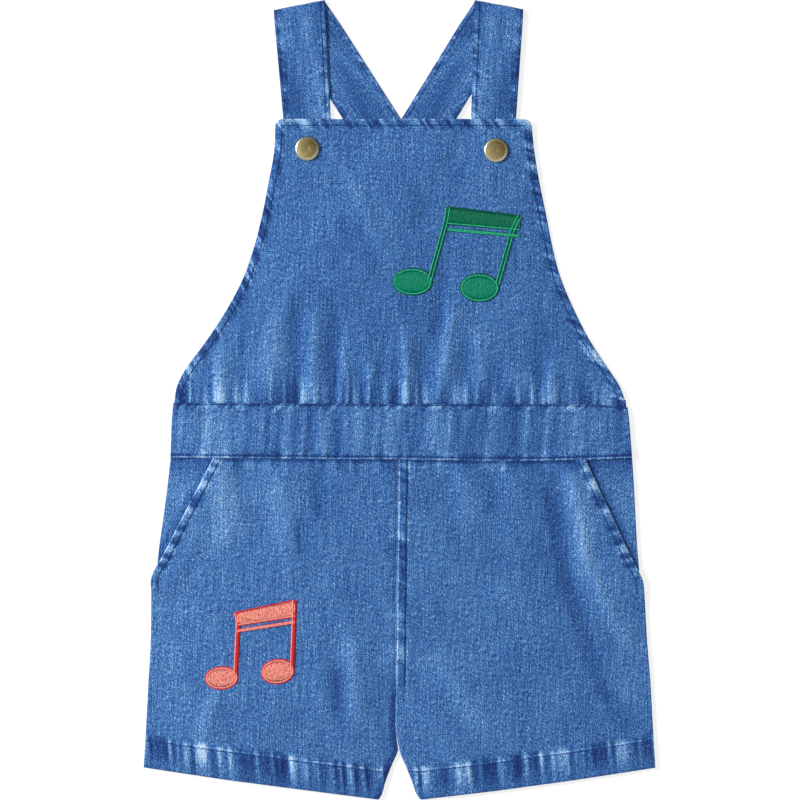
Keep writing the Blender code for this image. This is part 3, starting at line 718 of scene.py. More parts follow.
class Finish(Enum):
    """The finishes, each with the record's slot that it stands for."""

    DENIM = ("denim", DenimFinish("washed_denim"))
    DENIM_BACK = ("denim_inside", DenimFinish("back_denim", 0.04))
    SEWING = ("blue_thread", ThreadFinish("sewing", linear(44, 78, 140), linear(22, 44, 92), 0.7))
    GREEN = ("green_thread", ThreadFinish("green_satin", linear(0, 148, 112), linear(0, 92, 66)))
    GREEN_BEAM = ("green_thread", ThreadFinish("green_beam", linear(0, 122, 88), linear(0, 70, 48)))
    GREEN_CORD = (
        "green_thread", ThreadFinish("green_cord", linear(58, 196, 150), linear(0, 136, 100)),
    )
    # Dark green thread for the outline ring and the stem columns: painted shade round the raised satin.
    GREEN_DEEP = ("green_thread", ThreadFinish("green_painted_shade", linear(0, 98, 72), linear(0, 60, 44)))
    CORAL = (
        "coral_thread",
        ThreadFinish("coral_satin", linear(246, 170, 150), linear(206, 62, 60), flecks=0.8),
    )
    PINK_CORD = ("coral_thread", ThreadFinish("pink_cord", linear(255, 176, 164), linear(238, 96, 92)))
    RED = ("coral_thread", ThreadFinish("red_satin", linear(236, 52, 58), linear(170, 16, 30)))
    BRASS = ("brass", BrassFinish("antique_brass"))

    def dress(self, piece: bpy.types.Object) -> None:
        """Give a piece this finish and its body."""
        slot, finish = self.value
        material = bpy.data.materials.get(finish.name) or finish.build()
        piece.data.materials.append(material)
        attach(piece, BODY)


def add_piece(name: str, points: Array, faces: list, finish: Finish) -> bpy.types.Object:
    """Make a smooth-shaded mesh object.

    Args:
        name: The piece's name.
        points: Its points in millimetres, one row each.
        faces: Its faces, as lists of point numbers.
        finish: What it is made of.

    Returns:
        The object, linked to the scene.
    """
    mesh = bpy.data.meshes.new(name)
    mesh.from_pydata((points * MM).tolist(), [], faces)
    mesh.update()
    mesh.shade_smooth()
    piece = bpy.data.objects.new(name, mesh)
    bpy.context.scene.collection.objects.link(piece)
    finish.dress(piece)
    LOG.info("%s: %d faces", name, len(mesh.polygons))
    return piece


def carry_marks(piece: bpy.types.Object, marks: dict[str, Array]) -> None:
    """Store marks on a mesh's points, for the finish to read."""
    for name, values in marks.items():
        layer = piece.data.attributes.new(name, "FLOAT", "POINT")
        layer.data.foreach_set("value", np.asarray(values, dtype=np.float32).ravel())


def shell(
    name: str, top: Array, under: Array, cut: Array, marks: dict[str, Array], finish: Finish
) -> bpy.types.Object:
    """A thin closed shell between two grids of points.

    Args:
        name: The piece's name.
        top: The upper grid, by row, column and coordinate, with rows running down the cloth.
        under: The lower grid.
        cut: Each grid place's coordinates on the flat cloth.
        marks: Numbers for each grid place, for the finish to read.
        finish: What the shell is made of.

    Returns:
        The object.
    """
    rows, columns = top.shape[:2]
    number = np.arange(rows * columns).reshape(rows, columns)
    lower = number + rows * columns
    quads = [
        np.stack([number[:-1, :-1], number[1:, :-1], number[1:, 1:], number[:-1, 1:]], axis=-1),
        np.stack([lower[:-1, :-1], lower[:-1, 1:], lower[1:, 1:], lower[1:, :-1]], axis=-1),
    ]
    loop = np.concatenate([
        number[:-1, 0], number[-1, :-1], number[:0:-1, -1], number[0, :0:-1], number[:1, 0],
    ])
    first, second = loop[:-1], loop[1:]
    low = rows * columns
    quads.append(np.stack([second, first, first + low, second + low], axis=-1))
    faces = np.concatenate([quad.reshape(-1, 4) for quad in quads])
    points = np.concatenate([top.reshape(-1, 3), under.reshape(-1, 3)])
    piece = add_piece(name, points, faces.tolist(), finish)
    carry_marks(piece, {key: np.tile(np.ravel(value), 2) for key, value in marks.items()})
    layer = piece.data.uv_layers.new(name="cut")
    flat = np.tile(cut.reshape(-1, 2) * MM, (2, 1))
    corners = np.empty(len(piece.data.loops), dtype=np.int32)
    piece.data.loops.foreach_get("vertex_index", corners)
    layer.data.foreach_set("uv", flat[corners].astype(np.float32).ravel())
    return piece


def strands(
    name: str, lines: Array, radius: Array | float, finish: Finish, sides: int = 6
) -> bpy.types.Object:
    """Many short threads as one mesh, each a tube along its own line with rounded ends.

    Args:
        name: The piece's name.
        lines: The centrelines, by thread, point and coordinate.
        radius: The threads' radius, one for all or one each.
        finish: What the threads are made of.
        sides: How many sides a tube has.

    Returns:
        The object.
    """
    count, rings = lines.shape[:2]
    ahead = np.gradient(lines, axis=1)
    ahead /= np.linalg.norm(ahead, axis=2, keepdims=True)
    aside = np.cross(ahead, np.array([0.0, 0.0, 1.0]))
    aside /= np.linalg.norm(aside, axis=2, keepdims=True)
    above = np.cross(aside, ahead)
    share = np.linspace(-1.0, 1.0, rings)
    taper = 0.35 + 0.65 * np.sqrt(1.0 - share ** 6)
    thick = np.broadcast_to(np.asarray(radius, dtype=float).reshape(-1, 1), (count, 1)) * taper
    turn = np.arange(sides) / sides * 2.0 * math.pi
    ring = aside[:, :, None] * np.cos(turn)[None, None, :, None]
    ring = ring + above[:, :, None] * np.sin(turn)[None, None, :, None]
    points = lines[:, :, None] + ring * thick[:, :, None, None]
    number = np.arange(count * rings * sides).reshape(count, rings, sides)
    across = np.roll(number, -1, axis=2)
    quads = np.stack([
        number[:, 1:], across[:, 1:], across[:, :-1], number[:, :-1],
    ], axis=-1).reshape(-1, 4)
    faces = quads.tolist() + number[:, 0].tolist() + number[:, -1, ::-1].tolist()
    return add_piece(name, points.reshape(-1, 3), faces, finish)


@dataclass
class Spots:
    """Places on a panel, with their distances inside its four edges."""

    across: Array
    up: Array
    from_left: Array
    from_right: Array
    from_top: Array
    from_foot: Array


@dataclass
class Seam:
    """A row of topstitching along a panel.

    Args:
        path: Places of the stitch line, across and up, in order.
        pitch: From one stitch to the next.
        length: How long a stitch shows.
        radius: The thread's radius.
    """

    path: Array
    pitch: float = STITCH_PITCH
    length: float = STITCH_LENGTH
    radius: float = STITCH_RADIUS

    def lines(self, top: Callable[[Array, Array], Array]) -> Array:
        """The stitches' centrelines on a surface.

        Args:
            top: The surface's height at places across and up.

        Returns:
            The lines, by stitch, point and coordinate.
        """
        steps = np.hypot(*np.diff(self.path, axis=0).T)
        run = np.concatenate([[0.0], np.cumsum(steps)])
        starts = np.arange(0.4, run[-1] - self.length, self.pitch)
        along = starts[:, None] + np.linspace(0.0, self.length, 5)[None, :]
        across = np.interp(along, run, self.path[:, 0])
        up = np.interp(along, run, self.path[:, 1])
        height = top(across, up) + self.radius * np.array([-0.5, 0.5, 0.8, 0.5, -0.5])
        return np.stack([across, up, height], axis=-1)


@dataclass
class Panel:
    """A flat-cut piece of cloth between two edges, as a thin shell on its solid's form.

    Args:
        node: The solid that the shell stands for.
        flat: The size that the piece was cut to, in metres. Not used.
        rests_on: What it lies on. Not used.
        finish: What it is made of.
        cloth: The cloth's thickness.
        spacing: How far apart its columns and rows of points stand.
        bands: Distances from the side edges where more columns stand.
        top_bands: Distances from the top where more rows stand.
        foot_bands: Distances from the foot where more rows stand.
    """

    node: str = ""
    flat: tuple[float, float] = (0.1, 0.1)
    rests_on: tuple[str, ...] = ()
    finish: Finish = Finish.DENIM
    cloth: float = 1.05
    spacing: float = 1.35
    bands: tuple[float, ...] = (0.0, 0.12, 0.35, 0.7, 1.2, 2.4, 3.6, 4.0, 4.4, 4.9, 6.0, 7.4)
    top_bands: tuple[float, ...] = (0.0, 0.12, 0.35, 0.7, 1.2, 2.4)
    foot_bands: tuple[float, ...] = (0.0, 0.12, 0.35, 0.7, 1.2, 2.4)
    seams: list[Seam] = field(default_factory=list)
    crumple: Wander = Wander(5, 13.0, 19.0)
    small_crumple: Wander = Wander(6, 5.0, 7.5)
    dots: Wander = Wander(8, 1.3, 1.3)

    def left(self, up: Array) -> Array:
        """The left edge's place across, at heights up the garment."""
        raise NotImplementedError

    def right(self, up: Array) -> Array:
        """The right edge's place across."""
        raise NotImplementedError

    def level(self, step: Array, across: Array) -> Array:
        """The height up the garment of a row, from 0 at the top to 1 at the foot."""
        raise NotImplementedError

    def underside(self, spots: Spots) -> Array:
        """The height of the cloth's underside."""
        raise NotImplementedError

    def thickness(self, spots: Spots) -> Array:
        """The cloth's thickness, without its rounded edges."""
        return np.full(spots.across.shape, self.cloth)

    def edge(self, spots: Spots) -> Array:
        """The distance from the nearest folded edge, which is worn and rounded."""
        return np.minimum(spots.from_left, spots.from_right)

    def line(self, spots: Spots) -> Array:
        """The distance from the nearest row of stitches."""
        return np.full(spots.across.shape, FAR)

    def folds(self) -> tuple:
        """The folds that cross this piece."""
        return ()

    def lean(self, edge: Callable[[Array], Array], up: Array) -> Array:
        """How much longer a level distance from a slanting edge is than a square one."""
        slope = (edge(up + 0.5) - edge(up - 0.5)).clip(-1.2, 1.2)
        return np.sqrt(1.0 + slope ** 2)

    def spots_at(self, across: Array, up: Array) -> Spots:
        """Places on the panel, with their distances from its edges."""
        return Spots(
            across, up,
            (across - self.left(up)) / self.lean(self.left, up),
            (self.right(up) - across) / self.lean(self.right, up),
            self.level(0.0, across) - up,
            up - self.level(1.0, across),
        )

    def wave(self, run: Array, reach: float, aside: Array, slant: float = 0.5) -> Array:
        """Small uneven waves that stitches draw up along a seam.

        Args:
            run: Distances along the seam.
            reach: About half of a wave's length.
            aside: Distances from the seam, which the waves cross at a slant.
            slant: How much they slant.

        Returns:
            The waves, from about -1 to 1.
        """
        place = run + slant * aside
        return ROPE.at(place / reach, aside) + 0.6 * ROPE.at(place / reach * 0.47 + 40.0, aside)

    def pucker(self, spots: Spots) -> Array:
        """The waves along this piece's hems and seams, from about -1 to 1."""
        return np.zeros(spots.across.shape)

    def fade(self, spots: Spots) -> Array:
        """How much lighter than the rest the cloth is, from fading and from painted light: under 0 it
        is darker, from kept blue and from painted shade.
        """
        return np.zeros(spots.across.shape)

    def surface(self, spots: Spots) -> tuple[Array, Array]:
        """The heights of the cloth's upper and lower faces."""
        under = self.underside(spots)
        round_in = np.clip(self.edge(spots) / EDGE_ROUND, 0.0, 1.0)
        top = under + self.thickness(spots) * rounded(self.edge(spots), 0.4)
        top = top - 0.3 * bell(self.line(spots), 0.55)
        loose = self.crumple.at(spots.across, spots.up) * 0.22
        loose = loose + self.small_crumple.at(spots.across, spots.up) * 0.07
        return top + loose * soft(round_in) + self.pucker(spots) * 0.34 * round_in, under

    def top_at(self, across: Array, up: Array) -> Array:
        """The height of the cloth's upper face at places on it."""
        return self.surface(self.spots_at(across, up))[0]

    def _ends(self, edge: Callable[[Array], Array], steps: Array) -> Array:
        """Where the rows meet an edge."""
        across = edge(self.level(steps, 0.0 * steps))
        for _ in range(4):
            across = edge(self.level(steps, across))
        return across

    def grid(self) -> tuple[Array, Array]:
        """The places of the shell's points across and up, by row and column."""
        down = float(self.level(0.0, 0.0) - self.level(1.0, 0.0))
        top, foot = np.array(self.top_bands) / down, 1.0 - np.array(self.foot_bands[::-1]) / down
        count = max(2, int(down * (foot[0] - top[-1]) / self.spacing))
        between = np.linspace(top[-1], foot[0], count + 1)[1:-1]
        steps = np.concatenate([top, between, foot])[:, None]
        left, right = self._ends(self.left, steps), self._ends(self.right, steps)
        ups = self.level(steps, left), self.level(steps, right)
        bands = np.array(self.bands)[None, :]
        from_left = left + bands * self.lean(self.left, ups[0])
        from_right = right - bands[:, ::-1] * self.lean(self.right, ups[1])
        width = float(np.max(right - left))
        count = max(2, int((width - 2.0 * self.bands[-1]) / self.spacing))
        share = np.linspace(0.0, 1.0, count + 1)[None, 1:-1]
        inner = from_left[:, -1:] + (from_right[:, :1] - from_left[:, -1:]) * share
        across = np.concatenate([from_left, inner, from_right], axis=1)
        return across, self.level(steps, across)

    def build(self) -> bpy.types.Object:
        across, up = self.grid()
        spots = self.spots_at(across, up)
        top, under = self.surface(spots)
        # Painted light and shade on the relief: fold ridges and pucker crests are lighter and troughs
        # darker, partly wear, partly painted shade where less light falls.
        ridge = np.clip(relief(self.folds(), across, up), -1.6, 1.6)
        fade = 0.11 * painted_light_and_fade_at(across, up) + 0.13 * ridge + 0.34 * self.pucker(spots)
        marks = {
            "fade": fade + self.fade(spots),
            "line": np.clip(self.line(spots), 0.0, FAR),
        }
        piece = shell(
            "cloth_" + self.node, np.stack([across, up, top], axis=-1),
            np.stack([across, up, under], axis=-1), np.stack([across, up], axis=-1), marks,
            self.finish,
        )
        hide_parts(self.node)
        self.sew()
        return piece

    def sew(self) -> None:
        """Make this piece's rows of stitches as one mesh."""
        if self.seams:
            lines = np.concatenate([seam.lines(self.top_at) for seam in self.seams])
            strands("stitches_" + self.node, lines, self.seams[0].radius, Finish.SEWING)


def along(edge: Callable[[Array], Array], inset: float, ups: Array) -> Array:
    """A stitch line a level distance inside an edge."""
    return np.stack([edge(ups) + inset, ups], axis=-1)


@dataclass
class Bib(Panel):
    """The gathered bib, with a narrow turned hem along its top and its sides."""

    hem: float = 5.2
    corner: float = 5.3
    stitch_in: float = 4.4
    swell: float = 0.9
    top_bands: tuple[float, ...] = (0.0, 0.12, 0.35, 0.7, 1.2, 2.4, 3.6, 4.0, 4.4, 4.9, 6.0)

    def _stand_in(self, up: Array) -> Array:
        """How far an edge stands in near its rounded top corner."""
        down = np.clip(BIB_TOP - up, 0.0, self.corner)
        return self.corner - np.sqrt(self.corner ** 2 - (self.corner - down) ** 2)

    def left(self, up: Array) -> Array:
        """The left armhole edge."""
        return BIB_SECTIONS.smooth("left", up) + self._stand_in(up)

    def right(self, up: Array) -> Array:
        """The right armhole edge."""
        return BIB_SECTIONS.smooth("right", up) - self._stand_in(up)

    def level(self, step: Array, across: Array) -> Array:
        """Rows from the bib's top down to the waist seam."""
        foot = WAIST_SEAMS.smooth("upper", across) + 0.02
        return BIB_TOP + (foot - BIB_TOP) * step

    def folds(self) -> tuple:
        """The gathers."""
        return BIB_FOLDS

    def edge(self, spots: Spots) -> Array:
        """The distance from the hemmed top and sides, round the corners too."""
        left = spots.across - BIB_SECTIONS.smooth("left", spots.up)
        right = BIB_SECTIONS.smooth("right", spots.up) - spots.across
        side = np.minimum(left, right)
        top = np.maximum(spots.from_top, 0.0)
        far = np.hypot(self.corner - side, self.corner - top)
        in_corner = (side < self.corner) & (top < self.corner)
        straight = np.minimum(np.minimum(spots.from_left, spots.from_right), top)
        return np.maximum(0.0, np.where(in_corner, self.corner - far, straight))

    def line(self, spots: Spots) -> Array:
        """The distance from the hem's stitches."""
        return abs(self.edge(spots) - self.stitch_in)

    def pucker(self, spots: Spots) -> Array:
        """The roped hem, and the small gathers above the waist seam."""
        edge = self.edge(spots)
        hem = self.wave(spots.up + 0.8 * spots.across, 1.75, edge) * plateau(edge, 4.2, 4.5)
        gathers = self.wave(spots.across, 2.3, 0.1 * spots.from_foot, 0.0)
        return hem + 0.9 * gathers * plateau(spots.from_foot, 2.0, 20.0) * soft(edge / 5.0)

    def fade(self, spots: Spots) -> Array:
        """Dark hems with a thin worn edge, pale top corners, and painted shadow along the foot under
        the waistband.
        """
        edge = self.edge(spots)
        corner = np.hypot(np.minimum(spots.from_left, spots.from_right), spots.from_top)
        rim = 0.16 * plateau(edge, 0.3, 0.9) * soft(1.0 - spots.from_top / 30.0)
        outline = 0.08 * plateau(edge, 0.3, 0.8) * soft(spots.from_top / 30.0)
        hem = -0.04 * plateau(edge, 4.4, 0.8) - outline
        # Painted shadow along the foot, where the waistband's edge stands over the bib.
        seam = -0.12 * plateau(spots.from_foot, 0.2, 1.0)
        beside = -0.05 * bell(edge - self.stitch_in - 1.4, 1.2)
        return rim + hem + seam + beside + 0.22 * plateau(corner, 5.0, 6.0)

    def underside(self, spots: Spots) -> Array:
        """The bib over its straps, with its gathers."""
        swell = self.swell * soft((LAY.STRAP_END_UP - spots.up) / 30.0)
        edge = np.minimum(spots.from_left, spots.from_right)
        height = LAY.underside(spots.across, spots.up, edge, BIB_FOLDS, swell)
        return height - 0.5 * plateau(spots.from_foot, 0.0, 3.0)

    def thickness(self, spots: Spots) -> Array:
        """One ply, with the hem's turned band."""
        return self.cloth + 0.5 * plateau(self.edge(spots), self.hem - 0.4, 0.9)

    def sew(self) -> None:
        """Stitch the hem: up one side, along the top and down the other."""
        ups = np.linspace(0.0, BIB_TOP - self.stitch_in, 140)
        for edge, way in ((self.left, 1.0), (self.right, -1.0)):
            lean = self.lean(edge, ups)
            path = np.stack([edge(ups) + way * self.stitch_in * lean, ups], axis=-1)
            self.seams.append(Seam(path))
        first, last = self.left(180.0) + self.stitch_in, self.right(180.0) - self.stitch_in
        across = np.linspace(first, last, 60)
        up = 0.0 * across + BIB_TOP - self.stitch_in
        self.seams.append(Seam(np.stack([across, up], axis=-1)))
        super().sew()


@dataclass
class Waistband(Panel):
    """The front waistband: two plies, stitched close to both long edges."""

    stitch_in: tuple[float, float] = (0.9, 2.0)
    plies: float = 1.75
    swell: float = 0.25
    spacing: float = 1.15
    bands: tuple[float, ...] = (0.0, 0.12, 0.35, 0.7, 1.2, 2.4)
    top_bands: tuple[float, ...] = (0.0, 0.12, 0.35, 0.6, 0.9, 1.2, 1.7, 2.6)
    foot_bands: tuple[float, ...] = (0.0, 0.12, 0.35, 0.7, 1.1, 1.6, 2.0, 2.4, 3.0, 3.8)

    def left(self, up: Array) -> Array:
        """The left side seam."""
        return BAND_SECTIONS.smooth("left", up)

    def right(self, up: Array) -> Array:
        """The right side seam."""
        return BAND_SECTIONS.smooth("right", up)

    def level(self, step: Array, across: Array) -> Array:
        """Rows between the two waist seams."""
        top = WAIST_SEAMS.smooth("upper", across)
        return top + (WAIST_SEAMS.smooth("lower", across) - top) * step

    def folds(self) -> tuple:
        """The puckers across the band."""
        return WAIST_FOLDS

    def edge(self, spots: Spots) -> Array:
        """The distance from the two long folded edges."""
        return np.maximum(0.0, np.minimum(spots.from_top, spots.from_foot))

    def line(self, spots: Spots) -> Array:
        """The distance from the two rows of stitches."""
        upper, lower = self.stitch_in
        return np.minimum(abs(spots.from_top - upper), abs(spots.from_foot - lower))

    def pucker(self, spots: Spots) -> Array:
        """Small slanted puckers under the top seam, and softer ones along the lower stitches."""
        top = self.wave(spots.across, 1.5, spots.from_top, 0.9) * plateau(spots.from_top, 1.0, 5.0)
        foot = self.wave(spots.across + 9.0, 2.4, spots.from_foot, -0.4)
        middle = self.wave(spots.across + 31.0, 3.4, 0.2 * spots.from_top, 0.4)
        return top + 0.6 * foot * plateau(spots.from_foot, 2.0, 5.0) + 0.35 * middle

    def fade(self, spots: Spots) -> Array:
        """A worn line on the lower edge, under a dark seam."""
        rubbed = 0.8 + 0.5 * self.dots.at(spots.across, 0.0 * spots.up)
        edge = 0.34 * rubbed * plateau(spots.from_foot, 0.6, 0.5)
        dark = -0.08 * plateau(abs(spots.from_foot - 2.0), 0.7, 1.0)
        return edge + dark - 0.05 * plateau(spots.from_top, 0.9, 0.7)

    def underside(self, spots: Spots) -> Array:
        """The band over the back band."""
        side = np.minimum(spots.from_left, spots.from_right)
        height = LAY.underside(spots.across, spots.up, side, WAIST_FOLDS, self.swell)
        return height + LAY.pocket_lift(spots.across, spots.up)

    def thickness(self, spots: Spots) -> Array:
        """Two plies."""
        side = np.minimum(spots.from_left, spots.from_right)
        return self.plies * rounded(side, 0.45)

    def sew(self) -> None:
        """Stitch both long edges."""
        across = np.linspace(-148.0, 150.0, 160)
        upper = WAIST_SEAMS.smooth("upper", across) - self.stitch_in[0]
        lower = WAIST_SEAMS.smooth("lower", across) + self.stitch_in[1]
        self.seams.append(Seam(np.stack([across, upper], axis=-1)))
        self.seams.append(Seam(np.stack([across, lower], axis=-1)))
        super().sew()


@dataclass
class FrontLeg(Panel):
    """A front leg: a stitched pocket mouth, a turned hem and the centre seam."""

    side: str = "left"
    hem: float = LEG_HEM
    pocket_band: float = 4.6
    seam_band: float = 5.4
    swell: float = 1.3
    bands: tuple[float, ...] = (
        0.0, 0.12, 0.35, 0.7, 1.2, 1.8, 2.6, 3.6, 4.2, 4.6, 5.0, 5.4, 5.8, 6.6, 7.8,
    )
    foot_bands: tuple[float, ...] = (
        0.0, 0.12, 0.35, 0.7, 1.2, 2.4, 3.6, 4.8, 6.0, 7.2, 8.4, 9.6, 10.8, 12.0, 13.2, 14.4, 15.6,
        16.6, 17.4, 18.0, 18.5, 19.0, 19.7, 20.6,
    )

    @property
    def is_left(self) -> bool:
        """Whether this is the left leg."""
        return self.side == "left"

    def outer(self, up: Array) -> Array:
        """The pocket mouth, and the side seam below it."""
        return LEG_SECTIONS.smooth(self.side, up)

    def inner(self, up: Array) -> Array:
        """The centre seam, and the inseam below it."""
        close = seam_closing(up) if self.is_left else -seam_closing(up)
        return INSEAM_SECTIONS.smooth(self.side, up) + close

    def left(self, up: Array) -> Array:
        """The left edge."""
        return self.outer(up) if self.is_left else self.inner(up)

    def right(self, up: Array) -> Array:
        """The right edge."""
        return self.inner(up) if self.is_left else self.outer(up)

    def level(self, step: Array, across: Array) -> Array:
        """Rows from the waist seam down to the hem's lower edge."""
        top = WAIST_SEAMS.smooth("lower", across) - 0.02
        return top + (LEG_HEM_LINE.straight("up", across) - top) * step

    def folds(self) -> tuple:
        """The folds of both legs."""
        return LEG_FOLDS

    def _sides(self, spots: Spots) -> tuple[Array, Array]:
        """The distances from the outer and the inner edge."""
        pair = (spots.from_left, spots.from_right)
        return pair if self.is_left else pair[::-1]

    def edge(self, spots: Spots) -> Array:
        """The distance from the mouth, the side, the hem and the inseam."""
        outer, inner = self._sides(spots)
        return np.maximum(0.0, np.minimum(np.minimum(outer, inner), spots.from_foot))

    def line(self, spots: Spots) -> Array:
        """The distance from the stitches of the mouth, the hem and the centre seam."""
        outer, inner = self._sides(spots)
        mouth = abs(outer - self.pocket_band) + np.where(spots.up > POCKET_FOOT_UP - 5.0, 0.0, FAR)
        line = np.minimum(mouth, abs(spots.from_foot - self.hem))
        if not self.is_left:
            felled = abs(inner - self.seam_band) + np.where(spots.up > CROTCH_UP, 0.0, FAR)
            line = np.minimum(line, felled)
        return line

    def pucker(self, spots: Spots) -> Array:
        """The roped pocket mouth, the hem's upright puckers and the centre seam's soft ones."""
        outer, inner = self._sides(spots)
        below = self.hem - spots.from_foot
        mouth = self.wave(spots.up + 60.0, 3.0, outer, 0.3) * plateau(outer, 4.4, 4.0)
        mouth = mouth * soft((spots.up - POCKET_FOOT_UP) / 6.0)
        reach = np.where(below > 0.0, plateau(below, 3.0, 15.0), plateau(-below, 1.0, 5.0))
        hem = self.wave(spots.across, 2.5, 0.15 * spots.from_foot, 0.6) * (0.25 + reach)
        hem = hem * plateau(-below, 2.0, 5.0)
        top = self.wave(spots.across, 3.6, 0.1 * spots.from_top, 0.0)
        top = top * plateau(spots.from_top, 1.0, 12.0)
        seam = self.wave(spots.up, 3.2, inner) * plateau(inner, 5.0, 4.0)
        share = 0.25 if self.is_left else 0.6
        return mouth + hem + 0.5 * top + share * seam * soft((spots.up - CROTCH_UP) / 20.0)

    def fade(self, spots: Spots) -> Array:
        """Worn mouth, seam and hem lines, the mouth and seam lines partly painted highlight on lit
        edges, with painted shade beside them and under the waistband, and painted light and shade on
        the two edges in the slit.
        """
        outer, inner = self._sides(spots)
        rubbed = 0.85 + 0.4 * self.dots.at(spots.across, spots.up)
        pocket = soft((spots.up - POCKET_FOOT_UP - 2.0) / 6.0)
        # The light mouth and seam lines are partly wear, partly painted highlight where the light falls
        # on the raised edges.
        mouth = pocket * (0.46 * plateau(outer, 0.35, 0.5) + 0.05 * plateau(outer, 4.0, 0.6))
        joined = soft((spots.up - CROTCH_UP + 6.0) / 12.0)
        seam = joined * 0.34 * plateau(inner, 0.55, 0.4)
        if self.is_left:
            # Painted shade along the left leg's edge in the slit, and beside the centre seam.
            below = 0.30 * (1.0 - joined) * plateau(inner, 1.5, 4.0)
            shade = -0.12 * joined * bell(inner - 2.0, 0.8) - below
        else:
            # Painted shade on the felled band, a light line beyond it that is partly wear and partly
            # painted highlight, and painted light along the right leg's edge in the slit.
            band = -0.07 * plateau(abs(inner - 3.2), 1.9, 0.8) + 0.09 * bell(inner - 7.0, 0.8)
            shade = joined * band + 0.08 * (1.0 - joined) * plateau(inner, 0.8, 1.5)
        above = spots.from_foot - self.hem
        hem = 0.32 * rubbed * bell(above - 0.9, 0.6) - 0.03 * plateau(abs(above + 9.0), 8.5, 1.2)
        foot = -0.06 * plateau(spots.from_foot, 0.5, 1.2)
        # Painted shadow under the waistband's edge.
        seam_shade = -0.30 * plateau(spots.from_top, 0.6, 2.6)
        return (mouth + seam) * rubbed + shade + hem + foot + seam_shade

    def underside(self, spots: Spots) -> Array:
        """The front of the leg over its back, and over the hip piece."""
        outline = abs(spots.across - LAY.outline(self.side, spots.up))
        edge = np.minimum(outline, LAY.slit_distance(spots.across, spots.up))
        height = LAY.underside(spots.across, spots.up, edge, LEG_FOLDS, self.swell)
        height = height + LAY.pocket_lift(spots.across, spots.up)
        return height - 0.35 * plateau(spots.from_top, 0.0, 3.0)

    def thickness(self, spots: Spots) -> Array:
        """One ply, with the mouth's band, the hem and the felled seam."""
        outer, inner = self._sides(spots)
        mouth = plateau(outer, self.pocket_band - 0.3, 0.8) * (spots.up > POCKET_FOOT_UP)
        rise = np.maximum(mouth, plateau(spots.from_foot, self.hem - 0.3, 0.9))
        if not self.is_left:
            felled = plateau(inner, self.seam_band - 0.3, 0.8) * soft((spots.up - CROTCH_UP) / 6.0)
            rise = np.maximum(rise, felled)
        return self.cloth + 0.5 * rise

    def sew(self) -> None:
        """Stitch the pocket mouth, the hem and the felled centre seam."""
        way = 1.0 if self.is_left else -1.0
        mouth = np.linspace(-41.0, -125.0, 50)
        lean = self.lean(self.outer, mouth)
        inset = way * self.pocket_band * lean
        self.seams.append(Seam(np.stack([self.outer(mouth) + inset, mouth], axis=-1)))
        across = np.linspace(self.left(-246.0) + 1.0, self.right(-243.0) - 1.0, 60)
        hem_up = LEG_HEM_LINE.straight("up", across) + self.hem
        self.seams.append(Seam(np.stack([across, hem_up], axis=-1)))
        if not self.is_left:
            ups = np.linspace(-41.0, CROTCH_UP, 60)
            self.seams.append(Seam(along(self.inner, self.seam_band, ups)))
        super().sew()


@dataclass
class HipPiece(Panel):
    """The hip piece that shows beyond a slanted pocket mouth, and runs on under the leg."""

    side: str = "left"
    swell: float = 1.3
    bands: tuple[float, ...] = (0.0, 0.12, 0.35, 0.7, 1.2, 2.4)

    def _under_leg(self, up: Array) -> Array:
        """The edge that is hidden under the leg."""
        (top_across, top_up), (foot_across, foot_up) = POCKET_MOUTHS[self.side == "right"]
        share = (up - top_up) / (foot_up - top_up)
        inward = POCKET_UNDERLAP if self.side == "left" else -POCKET_UNDERLAP
        return top_across + (foot_across - top_across) * share + inward

    def left(self, up: Array) -> Array:
        """The left edge."""
        return HIP_SECTIONS.smooth("left", up) if self.side == "left" else self._under_leg(up)

    def right(self, up: Array) -> Array:
        """The right edge."""
        return self._under_leg(up) if self.side == "left" else HIP_SECTIONS.smooth("right", up)

    def level(self, step: Array, across: Array) -> Array:
        """Rows from the waist seam down to the pocket's foot."""
        top = WAIST_SEAMS.smooth("lower", across) - 0.02
        return top + (POCKET_FOOT_UP - top) * step

    def folds(self) -> tuple:
        """The folds of both legs."""
        return LEG_FOLDS

    def edge(self, spots: Spots) -> Array:
        """The distance from the side seam."""
        edge = spots.from_left if self.side == "left" else spots.from_right
        return np.maximum(0.0, edge)

    def fade(self, spots: Spots) -> Array:
        """Painted shade under the waistband and along the mouth, where the raised leg's edge stands
        over the piece, and a little lighter elsewhere.
        """
        mouth = (spots.from_right if self.side == "left" else spots.from_left) - POCKET_UNDERLAP
        # Painted shade, darkest next to the waistband and along the mouth.
        top = -0.16 * plateau(spots.from_top, 2.0, 16.0) - 0.14 * plateau(spots.from_top, 0.6, 2.4)
        return top - 0.16 * plateau(mouth, 1.0, 4.0) + 0.05

    def underside(self, spots: Spots) -> Array:
        """The hip piece over the back of the leg."""
        edge = abs(spots.across - LAY.outline(self.side, spots.up))
        return LAY.underside(spots.across, spots.up, edge, LEG_FOLDS, self.swell)


